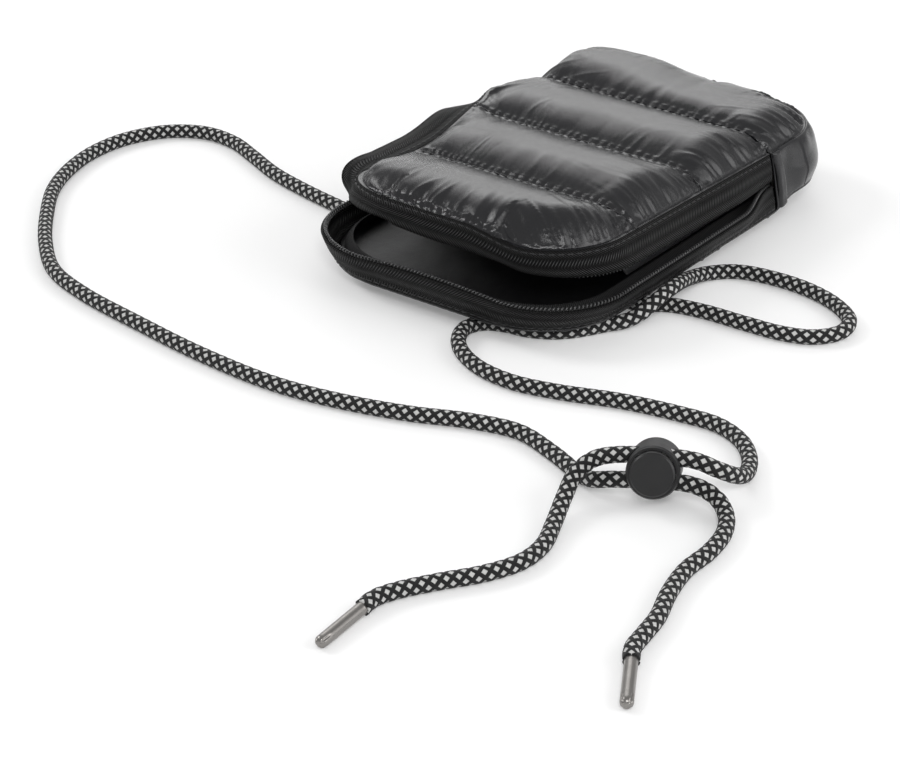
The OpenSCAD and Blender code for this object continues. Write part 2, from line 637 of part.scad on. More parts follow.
// A round tube along a route; every ring stands square to the route there
function tangent(route, i) =
    unit(route[min(i + 1, len(route) - 1)] - route[max(i - 1, 0)]);
function tube_ring(p, t, r, sides) =
    let (across = unit(cross(t, [0, 0, 1])), rise = cross(across, t))
    [for (j = [0 : sides - 1])
        p + r * (cos(360 * j / sides) * across + sin(360 * j / sides) * rise)];
module tube(route, r, sides)
    skin([for (i = [0 : len(route) - 1]) tube_ring(route[i], tangent(route, i), r, sides)]);

// The cord and all that sits on it keep to the first seam of the back panel
loop_y = near_route[0][1];
module on_seam() translate([0, seam_y(1) - mid_y - loop_y, 0]) children();

module cord_near() color(braid) on_seam() tube(near_route, cord_d / 2, cord_sides);
module cord_middle() color(braid) on_seam() tube(middle_route, cord_d / 2, cord_sides);
module cord_far() color(braid) on_seam() tube(far_route, cord_d / 2, cord_sides);

// Webbing loops under that seam
loop_r = cord_d / 2 + hole_gap + loop_t;
module cord_loop(side) color(tape_cloth) on_seam()
    translate([side * loop_x - loop_w / 2, loop_y, 0]) rotate([90, 0, 90])
        linear_extrude(loop_w) difference() {
            union() {
                translate([0, loop_r]) circle(loop_r);
                translate([-loop_r, loop_r]) square([2 * loop_r, rim_h - cloth_bow - loop_r]);
            }
            translate([0, loop_r]) circle(loop_r - loop_t);
            translate([loop_t - loop_r, loop_r]) square([2 * (loop_r - loop_t), rim_h]);
        }
module cord_loop_near() cord_loop(1);
module cord_loop_far() cord_loop(-1);

// Metal tips: a tube pressed onto the cord's end, closed by a dome
module aglet(root, tip) {
    d = tip - root;
    dome = aglet_d / 2;
    color(gunmetal) on_seam() translate(root) rotate([0, acos(d[2] / norm(d)), atan2(d[1], d[0])]) {
        cylinder(d = aglet_d, h = aglet_l - dome);
        translate([0, 0, aglet_l - dome]) sphere(d = aglet_d);
    }
}
module aglet_near() aglet(near_route[len(near_route) - 1], near_tip);
module aglet_far() aglet(far_route[len(far_route) - 1], far_tip);

// The lock sits where both routes run straight: local x along the cords, z along the plunger
lock_height_share = 0.85;
upper_run = [for (p = near_route) if (p[2] > barrel_d * lock_height_share) p];
lower_run = [far_route[len(far_route) - 12], far_route[len(far_route) - 11]];
upper_mid = mean(upper_run[0], upper_run[1]);
lower_mid = mean(lower_run[0], lower_run[1]);
hole_pitch = norm(upper_mid - lower_mid);
lock_turn = atan2(upper_run[0][1] - upper_run[1][1], upper_run[0][0] - upper_run[1][0]);
lock_pitch = acos((upper_mid[2] - lower_mid[2]) / hole_pitch);
module lock_place() on_seam()
    translate(mean(upper_mid, lower_mid)) rotate([0, 0, lock_turn]) rotate([90 - lock_pitch, 0, 0])
        children();

hole_r = cord_d / 2 + hole_gap;
hole_shift = 2.5;
barrel_front = barrel_l / 2 - hole_shift;
barrel_edge = 1;
bore_r = barrel_d / 2 - barrel_wall;
plunger_r = bore_r - plunger_gap;
plunger_back = -hole_r - soft_gap / 3 - barrel_floor;
module cord_holes() for (side = [-1, 1])
    translate([0, side * hole_pitch / 2, 0]) rotate([0, 90, 0])
        cylinder(r = hole_r, h = barrel_d + 2 * over, center = true);

module lock_barrel() color(lock_plastic) lock_place() difference() {
    translate([0, 0, barrel_front - barrel_l]) rotate_extrude() polygon([
        [0, 0], [barrel_d / 2 - barrel_edge, 0], [barrel_d / 2, barrel_edge],
        [barrel_d / 2, barrel_l - barrel_edge], [barrel_d / 2 - barrel_edge / 2, barrel_l],
        [0, barrel_l]]);
    translate([0, 0, barrel_front - barrel_l + barrel_floor]) cylinder(r = bore_r, h = barrel_l);
    cord_holes();
}

// The plunger's slot lets it move past the cords; at rest the slot's inner end grips them
slot_low = -hole_r - soft_gap / 3;
slot_high = hole_r + plunger_travel + soft_gap / 3;
module lock_plunger() color(lock_plastic) lock_place() difference() {
    translate([0, 0, plunger_back]) rotate_extrude() polygon([
        [0, 0], [plunger_r, 0], [plunger_r, barrel_front + plunger_out - plunger_back - barrel_edge / 2],
        [plunger_r - barrel_edge / 2, barrel_front + plunger_out - plunger_back],
        [0, barrel_front + plunger_out - plunger_back]]);
    translate([-barrel_d / 2, -hole_pitch / 2 - hole_r, slot_low])
        cube([barrel_d, hole_pitch + 2 * hole_r, slot_high - slot_low]);
}

// Spring between the plunger's back and the barrel's floor
spring_turns = 2.5;
turn_steps = 12;
spring_r_share = 0.6;
spring_r = bore_r * spring_r_share;
spring_sides = 6;
module lock_spring() {
    low = barrel_front - barrel_l + barrel_floor + spring_wire / 2 + hole_gap;
    high = plunger_back - spring_wire / 2 - hole_gap;
    steps = spring_turns * turn_steps;
    color(spring_steel) lock_place() tube([for (i = [0 : steps])
        [spring_r * cos(360 * i / turn_steps), spring_r * sin(360 * i / turn_steps),
            low + (high - low) * i / steps]], spring_wire / 2, spring_sides);
}

front_panel();
front_wadding();
front_lining();
upper_tape();
upper_coil();
end_panel();
end_wadding();
end_lining();
end_gusset();
gusset_lining();
back_panel();
back_wadding();
back_lining();
rim_binding();
lower_tape();
lower_coil();
held_zip();
near_tab();
far_tab();
near_stop();
far_stop();
zip_slider();
zip_puller();
pocket_panel();
pocket_hem();
pocket_side_near();
pocket_side_far();
pocket_end();
cord_loop_near();
cord_loop_far();
cord_near();
cord_middle();
cord_far();
aglet_near();
aglet_far();
lock_barrel();
lock_plunger();
lock_spring();
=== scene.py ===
"""Quilted zip pouch with a braided shoulder cord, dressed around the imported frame.

Shapes are worked out in millimetres as numpy grids and put into meshes in metres. Sewn pieces are
written in sewing coordinates, in which y runs from the front panel's mouth seam to its hinge end,
and are then seated in the part's frame. The cord and its lock are written in the part's frame.
"""
from __future__ import annotations

import json
import logging
import math
from dataclasses import dataclass, field
from enum import Enum
from typing import Iterable, Sequence

import bmesh
import bpy
import numpy as np
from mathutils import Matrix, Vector

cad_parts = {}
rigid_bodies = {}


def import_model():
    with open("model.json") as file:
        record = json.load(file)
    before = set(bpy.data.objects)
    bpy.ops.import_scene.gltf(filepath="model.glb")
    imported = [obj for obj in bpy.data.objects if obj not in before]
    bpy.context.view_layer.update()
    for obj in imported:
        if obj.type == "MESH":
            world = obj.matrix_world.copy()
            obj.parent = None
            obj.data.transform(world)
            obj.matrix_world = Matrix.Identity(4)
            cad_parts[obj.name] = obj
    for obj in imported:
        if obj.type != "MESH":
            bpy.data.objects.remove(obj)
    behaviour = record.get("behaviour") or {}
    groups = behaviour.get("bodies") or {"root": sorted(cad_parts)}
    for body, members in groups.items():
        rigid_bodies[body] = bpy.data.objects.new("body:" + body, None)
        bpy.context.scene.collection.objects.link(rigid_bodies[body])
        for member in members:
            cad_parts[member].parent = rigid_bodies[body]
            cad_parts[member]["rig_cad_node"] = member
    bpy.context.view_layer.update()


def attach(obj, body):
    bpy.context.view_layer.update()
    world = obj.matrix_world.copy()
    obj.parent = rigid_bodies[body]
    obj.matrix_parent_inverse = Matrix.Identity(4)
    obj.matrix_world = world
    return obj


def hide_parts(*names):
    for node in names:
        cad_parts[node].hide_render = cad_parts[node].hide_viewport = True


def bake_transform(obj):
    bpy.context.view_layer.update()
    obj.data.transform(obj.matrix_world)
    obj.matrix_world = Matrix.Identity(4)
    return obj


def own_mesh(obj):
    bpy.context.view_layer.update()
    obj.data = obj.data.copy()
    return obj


LOG = logging.getLogger("pouch")
MM = 0.001
UP = (0.0, 0.0, 1.0)
NOISE_CELLS = (61, 67)
POLE_RADIUS = 0.02
Grid = np.ndarray
Colour = tuple[float, float, float]
Point = tuple[float, float, float]


class Body(Enum):
    """The bodies of the record that the sewn pieces and the cord ride on."""

    POUCH = "pouch"
    LID = "lid"


# ---- Numbers and meshes


def smooth(t: Grid) -> Grid:
    """Smooth step from 0 to 1: 3t^2 - 2t^3 of t held between 0 and 1."""
    c = np.clip(t, 0, 1)
    return c * c * (3 - 2 * c)


def unit(v: Grid) -> Grid:
    """Vectors along the last axis, scaled to length 1."""
    return v / np.maximum(np.linalg.norm(v, axis=-1, keepdims=True), 1e-12)


def cloth_noise(u: Grid, v: Grid, seed: int) -> Grid:
    """Soft noise from -1 to 1: random values on the whole numbers, joined by smooth steps.

    Args:
        u: First coordinate, one cell per unit.
        v: Second coordinate, one cell per unit.
        seed: Chooses the table of random values.

    Returns:
        The noise at each point, in the shape of u and v.
    """
    rows, cols = NOISE_CELLS
    table = np.random.default_rng(seed).uniform(-1, 1, NOISE_CELLS)
    u, v = np.broadcast_arrays(np.asarray(u, float), np.asarray(v, float))
    i, j = np.floor(u).astype(int), np.floor(v).astype(int)
    fu, fv = smooth(u - i), smooth(v - j)
    a, b = table[i % rows, j % cols], table[(i + 1) % rows, j % cols]
    c, d = table[i % rows, (j + 1) % cols], table[(i + 1) % rows, (j + 1) % cols]
    return (a * (1 - fu) + b * fu) * (1 - fv) + (c * (1 - fu) + d * fu) * fv


def quad_faces(rows: int, cols: int, closed: bool) -> Grid:
    """Corner numbers of the quads of a grid, row by row.

    Args:
        rows: Rows of points.
        cols: Points in a row.
        closed: Whether the last column is joined to the first.

    Returns:
        Four numbers for each quad.
    """
    i = np.arange(rows - 1)[:, None]
    j = np.arange(cols if closed else cols - 1)[None, :]
    k = (j + 1) % cols
    return np.stack([i * cols + j, i * cols + k, (i + 1) * cols + k, (i + 1) * cols + j], -1).reshape(-1, 4)


def make_piece(name: str, points: Grid, faces: list[list[int]], uv: Grid | None = None) -> bpy.types.Object:
    """Put points in millimetres and faces into a smooth-shaded mesh object in metres, and turn the
    faces of the closed shape outwards.

    Args:
        name: The piece's name.
        points: One row for each vertex, in the part's frame.
        faces: Corner numbers of each face.
        uv: A pair for each face corner, in the order of the faces, or None.

    Returns:
        The linked object, whose place is in its mesh.
    """
    mesh = bpy.data.meshes.new(name)
    mesh.from_pydata((np.asarray(points).reshape(-1, 3) * MM).tolist(), [], faces)
    if uv is not None:
        layer = mesh.uv_layers.new(name="cloth")
        layer.data.foreach_set("uv", np.asarray(uv, dtype=np.float32).ravel())
    work = bmesh.new()
    work.from_mesh(mesh)
    bmesh.ops.recalc_face_normals(work, faces=work.faces)
    work.to_mesh(mesh)
    work.free()
    mesh.polygons.foreach_set("use_smooth", [True] * len(mesh.polygons))
    mesh.update()
    piece = bpy.data.objects.new(name, mesh)
    bpy.context.scene.collection.objects.link(piece)
    return piece


def finer(grid: Grid, times: int) -> Grid:
    """More rows and columns between those of a grid: cubic pieces through the points.

    Args:
        grid: Rows by columns by any number of values.
        times: New steps for each old one.

    Returns:
        The finer grid, which keeps every old point.
    """
    for axis in (0, 1):
        g = np.moveaxis(grid, axis, 0)
        at = np.linspace(0, len(g) - 1, times * (len(g) - 1) + 1)
        k = np.minimum(at.astype(int), len(g) - 2)
        f = (at - k).reshape(-1, *([1] * (g.ndim - 1)))
        a, b, c, d = (g[np.clip(k + i, 0, len(g) - 1)] for i in (-1, 0, 1, 2))
        g = b + 0.5 * f * (c - a + f * (2 * a - 5 * b + 4 * c - d + f * (3 * (b - c) + d - a)))
        grid = np.moveaxis(g, 0, axis)
    return grid


def corner_uv(faces: Grid, uv: Grid) -> Grid:
    """The pair of each face corner, looked up from a pair for each vertex."""
    return uv.reshape(-1, 2)[faces.ravel()]


def shell(name: str, outer: Grid, inner: Grid, uv: Grid) -> bpy.types.Object:
    """A sheet with thickness: two grids of the same shape joined round their four edges.

    Args:
        name: The piece's name.
        outer: Outer surface, rows by columns by 3, in millimetres.
        inner: Inner surface, of the same shape.
        uv: A pair for each grid point, in millimetres along the cloth.

    Returns:
        The closed mesh object.
    """
    rows, cols = outer.shape[:2]
    face = quad_faces(rows, cols, False)
    count = rows * cols
    ids = np.arange(count).reshape(rows, cols)
    strips = [face, face[:, ::-1] + count]
    for line in (ids[0], ids[:, -1], ids[-1][::-1], ids[::-1, 0]):
        a, b = line[:-1], line[1:]
        strips.append(np.stack([b, a, a + count, b + count], -1))
    faces = np.concatenate(strips)
    points = np.concatenate([outer.reshape(-1, 3), inner.reshape(-1, 3)])
    both = np.concatenate([uv.reshape(-1, 2)] * 2)
    return make_piece(name, points, faces.tolist(), corner_uv(faces, both))


def tube(name: str, rings: Grid, uv: Grid | None = None) -> bpy.types.Object:
    """A closed tube from rings of points, with flat ends.

    Args:
        name: The piece's name.
        rings: Rings by points by 3, in millimetres.
        uv: Rings by points plus one by 2, so that the last column closes the turn, or None.

    Returns:
        The closed mesh object.
    """
    rows, cols = rings.shape[:2]
    faces = quad_faces(rows, cols, True)
    corners = None
    if uv is not None:
        flat = quad_faces(rows, cols + 1, False)
        ends = np.concatenate([uv[0, :cols], uv[-1, :cols][::-1]])
        corners = np.concatenate([corner_uv(flat, uv), ends])
    first, last = list(range(cols)), list(range(rows * cols - 1, (rows - 1) * cols - 1, -1))
    return make_piece(name, rings, faces.tolist() + [first, last], corners)


def run_along(points: Grid) -> Grid:
    """Distance along a line of points, from its start."""
    return np.concatenate([[0], np.cumsum(np.linalg.norm(np.diff(points, axis=0), axis=1))])


def sample(at: Grid, run: Grid, points: Grid) -> Grid:
    """Points at the distances at, on the line whose points lie at the distances run."""
    return np.stack([np.interp(at, run, points[:, c]) for c in range(3)], -1)


def smooth_path(points: Sequence[Sequence[float]], step: float) -> Grid:
    """A smooth curve through points, evenly spaced: cubic pieces whose slope at each point runs
    from its neighbour before to its neighbour after, in step with the distances between them.

    Args:
        points: The points that the curve passes through.
        step: Distance between the new points, in millimetres.

    Returns:
        The new points, one row each.
    """
    p = np.asarray(points, float)
    t = np.concatenate([[0], np.cumsum(np.linalg.norm(np.diff(p, axis=0), axis=1) ** 0.5)])
    slope = np.gradient(p, t, axis=0)
    fine = np.linspace(0, t[-1], 40 * len(p))
    k = np.clip(np.searchsorted(t, fine, side="right") - 1, 0, len(p) - 2)
    h = (t[k + 1] - t[k])[:, None]
    s = ((fine - t[k]) / (t[k + 1] - t[k]))[:, None]
    curve = ((2 * s**3 - 3 * s**2 + 1) * p[k] + (s**3 - 2 * s**2 + s) * h * slope[k]
             + (3 * s**2 - 2 * s**3) * p[k + 1] + (s**3 - s**2) * h * slope[k + 1])
    run = run_along(curve)
    at = np.linspace(0, run[-1], max(2, int(round(run[-1] / step)) + 1))
    return sample(at, run, curve)


def round_tube(path: Grid, radius: Grid | float, sides: int) -> Grid:
    """Rings round a path: centre plus radius times cosine of side plus sine of rise. The side lies
    level, and the rise is square to it and to the path.

    Args:
        path: Points in order.
        radius: One radius, or one for each point of each ring.
        sides: Points in a ring.

    Returns:
        Rings by points by 3.
    """
    along = unit(np.gradient(path, axis=0))
    side = unit(np.cross(along, UP))
    rise = np.cross(side, along)
    angle = np.linspace(0, 2 * np.pi, sides, endpoint=False)[None, :, None]
    r = np.asarray(radius, float)[..., None]
    return path[:, None] + r * (np.cos(angle) * side[:, None] + np.sin(angle) * rise[:, None])


def lathe(profile: Grid, centre: Grid, axis: Grid, sides: int) -> Grid:
    """Rings of a turned shape: each profile point (height, radius) swings once round the axis.

    Args:
        profile: Pairs of height along the axis and radius, from one end to the other.
        centre: The point of height 0.
        axis: Direction of rising height.
        sides: Points in a ring.

    Returns:
        Rings by points by 3.
    """
    axis = unit(np.asarray(axis, float))
    side = unit(np.cross(axis, UP if abs(axis[2]) < 0.9 else (1.0, 0.0, 0.0)))
    other = np.cross(axis, side)
    h, r = profile.T
    a = np.linspace(0, 2 * np.pi, sides, endpoint=False)
    ring = np.cos(a)[:, None] * side + np.sin(a)[:, None] * other
    r = np.maximum(r, POLE_RADIUS)
    return np.asarray(centre) + h[:, None, None] * axis + r[:, None, None] * ring[None]


# ---- Finishes


class Nodes:
    """One material's node tree, with short calls that add to it."""

    def __init__(self, name: str, roughness: float, metallic: float = 0.0, **sockets: float) -> None:
        """Start a material with its shader and output.

        Args:
            name: The material's name.
            roughness: The shader's roughness.
            metallic: The shader's metallic value.
            **sockets: More of the shader's numbers, with underscores for blanks.
        """
        self.material = bpy.data.materials.new(name)
        self.material.use_nodes = True
        self.tree = self.material.node_tree
        self.tree.nodes.clear()
        self.shader = self.add("ShaderNodeBsdfPrincipled")
        out = self.add("ShaderNodeOutputMaterial")
        self.tree.links.new(self.shader.outputs[0], out.inputs[0])
        self.shader.inputs["Roughness"].default_value = roughness
        self.shader.inputs["Metallic"].default_value = metallic
        for key, value in sockets.items():
            self.shader.inputs[key.replace("_", " ")].default_value = value

    def add(self, kind: str, **settings: object) -> bpy.types.Node:
        """A new node.

        Args:
            kind: Its type.
            **settings: Its settings by name.

        Returns:
            The node.
        """
        node = self.tree.nodes.new(kind)
        for key, value in settings.items():
            setattr(node, key, value)
        return node

    def put(self, socket: bpy.types.NodeSocket, value: object) -> None:
        """Link a source to an input, or set a plain value there.

        Args:
            socket: The input.
            value: An output socket or a plain value.
        """
        if isinstance(value, bpy.types.NodeSocket):
            self.tree.links.new(value, socket)
        else:
            socket.default_value = value

    def sums(self, operation: str, *values: object) -> bpy.types.NodeSocket:
        """The result of a Math node.

        Args:
            operation: Its operation.
            *values: Up to three numbers or sockets.

        Returns:
            Its output.
        """
        node = self.add("ShaderNodeMath", operation=operation)
        for socket, value in zip(node.inputs, values):
            self.put(socket, value)
        return node.outputs[0]

    def object_point(self) -> bpy.types.NodeSocket:
        """The point on the piece, in metres."""
        return self.add("ShaderNodeTexCoord").outputs["Object"]

    def cloth_axes(self) -> tuple[bpy.types.NodeSocket, bpy.types.NodeSocket]:
        """The cloth coordinates of the piece's own UV map, in millimetres.

        Returns:
            Place along the cloth and place across it.
        """
        split = self.add("ShaderNodeSeparateXYZ")
        self.tree.links.new(self.add("ShaderNodeUVMap", uv_map="cloth").outputs[0], split.inputs[0])
        return split.outputs[0], split.outputs[1]

    def noise(self, scale: float, detail: float = 2.0, rough: float = 0.5) -> bpy.types.NodeSocket:
        """Noise from 0 to 1 on the piece's own coordinates.

        Args:
            scale: Cells per metre.
            detail: How many finer layers it has.
            rough: How strong the finer layers are.

        Returns:
            The noise.
        """
        node = self.add("ShaderNodeTexNoise")
        node.inputs["Scale"].default_value = scale
        node.inputs["Detail"].default_value = detail
        node.inputs["Roughness"].default_value = rough
        self.tree.links.new(self.object_point(), node.inputs["Vector"])
        return node.outputs["Fac"]

    def blend(self, factor: object, a: Sequence[float], b: Sequence[float]) -> bpy.types.NodeSocket:
        """A colour between two others.

        Args:
            factor: Share of the second colour.
            a: First colour.
            b: Second colour.

        Returns:
            The blended colour.
        """
        node = self.add("ShaderNodeMix", data_type="RGBA")
        self.put(node.inputs["Factor"], factor)
        node.inputs["A"].default_value = (*a, 1)
        node.inputs["B"].default_value = (*b, 1)
        return node.outputs["Result"]

    def scaled(self, value: object, low: float, high: float) -> bpy.types.NodeSocket:
        """A value from 0 to 1 mapped to run from low to high."""
        return self.sums("MULTIPLY_ADD", value, high - low, low)

    def wave(self, value: object, period: float) -> bpy.types.NodeSocket:
        """The sine of a value that starts anew after each period."""
        return self.sums("SINE", self.sums("MULTIPLY", value, 2 * math.pi / period))

    def weave(self, spacing: float, height: float) -> None:
        """A plain weave: the product of a wave along the cloth and one across it.

        Args:
            spacing: Distance between two threads, in millimetres.
            height: Height of the threads, in metres.
        """
        u, v = self.cloth_axes()
        warp, weft = self.wave(u, spacing), self.wave(v, spacing)
        self.bump(self.sums("MULTIPLY", warp, weft), height)

    def bump(self, height: object, distance: float) -> None:
        """Add a bump on top of what is there.

        Args:
            height: Height from 0 to 1.
            distance: What a height of 1 is, in metres.
        """
        node = self.add("ShaderNodeBump")
        node.inputs["Distance"].default_value = distance
        self.put(node.inputs["Height"], height)
        socket = self.shader.inputs["Normal"]
        if socket.is_linked:
            self.tree.links.new(socket.links[0].from_socket, node.inputs["Normal"])
        self.tree.links.new(node.outputs[0], socket)


@dataclass(frozen=True)
class ShellNylon:
    """Coated down-proof nylon: smooth gloss over a fine plain weave, with small creases."""

    colour: Colour = (0.011, 0.011, 0.0125)
    dark: Colour = (0.008, 0.008, 0.0095)
    roughness: float = 0.2
    smoother: float = 0.03
    rougher: float = 0.04
    crease: float = 0.00004
    thread: float = 0.35
    thread_height: float = 0.00001

    def material(self, name: str) -> bpy.types.Material:
        """Build the node material of this finish.

        Args:
            name: The material's name.

        Returns:
            The material.
        """
        n = Nodes(name, self.roughness, Specular_IOR_Level=0.5)
        n.put(n.shader.inputs["Base Color"], n.blend(n.noise(60, 3), self.dark, self.colour))
        gloss = n.scaled(n.noise(240), self.roughness - self.smoother, self.roughness + self.rougher)
        n.put(n.shader.inputs["Roughness"], gloss)
        n.bump(n.noise(90), self.crease)
        n.weave(self.thread, self.thread_height)
        return n.material


@dataclass(frozen=True)
class HerringboneTape:
    """Black zip tape whose fine ribs change direction band by band, with painted shade in the grooves and a painted
    highlight on the rib crests.
    """

    # Colour of the rib crests, lighter as a painted highlight.
    colour: Colour = (0.085, 0.085, 0.086)
    # Painted shade in the grooves between the ribs.
    groove_shade: Colour = (0.001, 0.001, 0.001)
    rib: float = 1.1
    band: float = 3.4
    slope: float = 0.9
    # Sharpens the painted highlight into thin lines on the crests.
    contrast: float = 5.0
    rib_height: float = 0.0006
    fuzz: float = 0.00003

    def material(self, name: str) -> bpy.types.Material:
        """Build the node material of this finish.

        Args:
            name: The material's name.

        Returns:
            The material.
        """
        n = Nodes(name, 0.55, Specular_IOR_Level=0.15)
        u, v = n.cloth_axes()
        fold = n.sums("PINGPONG", v, self.band)
        slant = n.sums("ADD", u, n.sums("MULTIPLY", fold, self.slope))
        rib = n.scaled(n.wave(slant, self.rib), 0.5, 1.0)
        edge = n.wave(v, 2 * self.band)
        height = n.sums("MULTIPLY", rib, n.scaled(n.sums("ABSOLUTE", edge), 0.55, 1.0))
        # The colour follows the ribs' height: painted shade in the grooves and at the band edges, and a painted
        # highlight on the crests.
        tone = n.sums("POWER", height, self.contrast)
        n.put(n.shader.inputs["Base Color"], n.blend(tone, self.groove_shade, self.colour))
        n.bump(height, self.rib_height)
        n.bump(n.noise(2500), self.fuzz)
        return n.material


@dataclass(frozen=True)
class RibbedWebbing:
    """Black ribbed ribbon or webbing, with ribs across its length and painted shade in the grooves between them."""

    colour: Colour = (0.02, 0.02, 0.021)
    # Painted shade in the grooves between the ribs.
    groove_shade: Colour = (0.003, 0.003, 0.003)
    rib: float = 0.8
    rib_height: float = 0.0002
    fuzz: float = 0.00003

    def material(self, name: str) -> bpy.types.Material:
        """Build the node material of this finish.

        Args:
            name: The material's name.

        Returns:
            The material.
        """
        n = Nodes(name, 0.7, Specular_IOR_Level=0.2)
        u, _ = n.cloth_axes()
        height = n.scaled(n.wave(u, self.rib), 0.5, 1.0)
        # The colour follows the ribs' height: painted shade in the grooves.
        n.put(n.shader.inputs["Base Color"], n.blend(height, self.groove_shade, self.colour))
        n.bump(height, self.rib_height)
        n.bump(n.noise(3000), self.fuzz)
        return n.material


@dataclass(frozen=True)
class Braid:
    """Round braid: a dark net of strands with a pale diamond in each mesh."""

    dark: Colour = (0.006, 0.006, 0.0065)
    pale: Colour = (0.62, 0.62, 0.61)
    diamond: tuple[float, float] = (0.62, 0.76)
    yarns: int = 7
    yarn_height: float = 0.00005
    fuzz: float = 0.00008

    def material(self, name: str) -> bpy.types.Material:
        """Build the node material of this finish.

        Args:
            name: The material's name.

        Returns:
            The material.
        """
        n = Nodes(name, 0.6, Specular_IOR_Level=0.3, Sheen_Weight=0.03, Sheen_Roughness=0.5)
        u, v = n.cloth_axes()
        one, other = n.sums("ADD", u, v), n.sums("SUBTRACT", u, v)
        a, b = (n.sums("ABSOLUTE", n.sums("COSINE", n.sums("MULTIPLY", w, math.pi))) for w in (one, other))
        step = n.add("ShaderNodeMapRange", interpolation_type="SMOOTHSTEP")
        for key, value in zip(("From Min", "From Max"), self.diamond):
            step.inputs[key].default_value = value
        n.put(step.inputs["Value"], n.sums("MINIMUM", a, b))
        fibre = n.noise(1500, 3, 0.6)
        tone = n.sums("MULTIPLY", step.outputs[0], n.scaled(fibre, 0.7, 1.2))
        n.put(n.shader.inputs["Base Color"], n.blend(tone, self.dark, self.pale))
        yarn = [n.sums("SINE", n.sums("MULTIPLY", w, 2 * math.pi * self.yarns)) for w in (one, other)]
        n.bump(n.sums("MULTIPLY", *yarn), self.yarn_height)
        n.bump(fibre, self.fuzz)
        return n.material


@dataclass(frozen=True)
class PlainCloth:
    """Smooth woven lining or pocket cloth."""

    colour: Colour = (0.004, 0.004, 0.0045)
    roughness: float = 0.5
    crease: float = 0.0003
    thread: float = 0.3
    thread_height: float = 0.00001

    def material(self, name: str) -> bpy.types.Material:
        """Build the node material of this finish.

        Args:
            name: The material's name.

        Returns:
            The material.
        """
        n = Nodes(name, self.roughness, Specular_IOR_Level=0.25)
        lighter = tuple(c * 1.35 for c in self.colour)
        n.put(n.shader.inputs["Base Color"], n.blend(n.noise(90, 3), self.colour, lighter))
        n.bump(n.noise(110, 3), self.crease)
        n.weave(self.thread, self.thread_height)
        return n.material


@dataclass(frozen=True)
class Moulded:
    """Moulded plastic or plated metal with a fine uneven skin."""

    colour: Colour
    roughness: float
    metallic: float = 0.0
    grain: float = 0.00002
    scale: float = 900.0
    smoother: float = 0.06
    rougher: float = 0.1

    def material(self, name: str) -> bpy.types.Material:
        """Build the node material of this finish.

        Args:
            name: The material's name.

        Returns:
            The material.
        """
        n = Nodes(name, self.roughness, self.metallic)
        lighter = tuple(min(1.0, c * 1.25 + 0.002) for c in self.colour)
        n.put(n.shader.inputs["Base Color"], n.blend(n.noise(self.scale / 3, 3), self.colour, lighter))
        rough = n.noise(self.scale / 2, 3)
        rough = n.scaled(rough, self.roughness - self.smoother, self.roughness + self.rougher)
        n.put(n.shader.inputs["Roughness"], rough)
        n.bump(n.noise(self.scale, 3), self.grain)
        return n.material


class Finish(Enum):
    """The finishes of the pouch's pieces, by the record's material slot where it has one."""

    QUILT = ("quilted_nylon", ShellNylon())
    LINING = ("lining", PlainCloth())
    POCKET = ("pocket_cloth", PlainCloth((0.055, 0.055, 0.058), 0.3, 0.0005))
    TAPE = ("zip_tape", HerringboneTape())
    RIBBON = ("webbing", RibbedWebbing())
    COIL = ("coil", Moulded((0.04, 0.04, 0.041), 0.16))
    METAL = ("gunmetal", Moulded((0.23, 0.22, 0.21), 0.3, 1.0))
    BRAID = ("braid", Braid())
    LOCK = ("lock_plastic", Moulded((0.004, 0.004, 0.0045), 0.42, 0.0, 0.00003, 600))
    STEEL = ("spring_steel", Moulded((0.55, 0.55, 0.56), 0.25, 1.0))
    THREAD = ("zip_tape", Moulded((0.014, 0.014, 0.015), 0.4, 0.0, 0.00004, 3000))


class Wardrobe:
    """Makes each finish once and dresses pieces in it."""

    def __init__(self) -> None:
        """Build the material of every finish."""
        self.materials = {f: f.value[1].material(f.name.lower()) for f in Finish}

    def dress(self, piece: bpy.types.Object, finish: Finish, body: Body, *nodes: str) -> bpy.types.Object:
        """Give a piece its finish, its body and the CAD nodes that it stands for.

        Args:
            piece: The piece.
            finish: What it is made of.
            body: What it rides on.
            *nodes: CAD nodes that it replaces.

        Returns:
            The piece.
        """
        piece.data.materials.clear()
        piece.data.materials.append(self.materials[finish])
        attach(piece, body.value)
        if nodes:
            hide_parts(*nodes)
        LOG.info("%s: %d faces, rides on %s", piece.name, len(piece.data.polygons), body.value)
        return piece

    def refinish(self, node: str, finish: Finish) -> bpy.types.Object:
        """Give a CAD node that stays the material of a finish.

        Args:
            node: The node's name.
            finish: What it is made of.

        Returns:
            Its object.
        """
        piece = next(o for o in bpy.data.objects if o.get("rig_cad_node") == node)
        for slot in piece.material_slots:
            slot.material = self.materials[finish]
        return piece


# ---- Shared sewing shapes


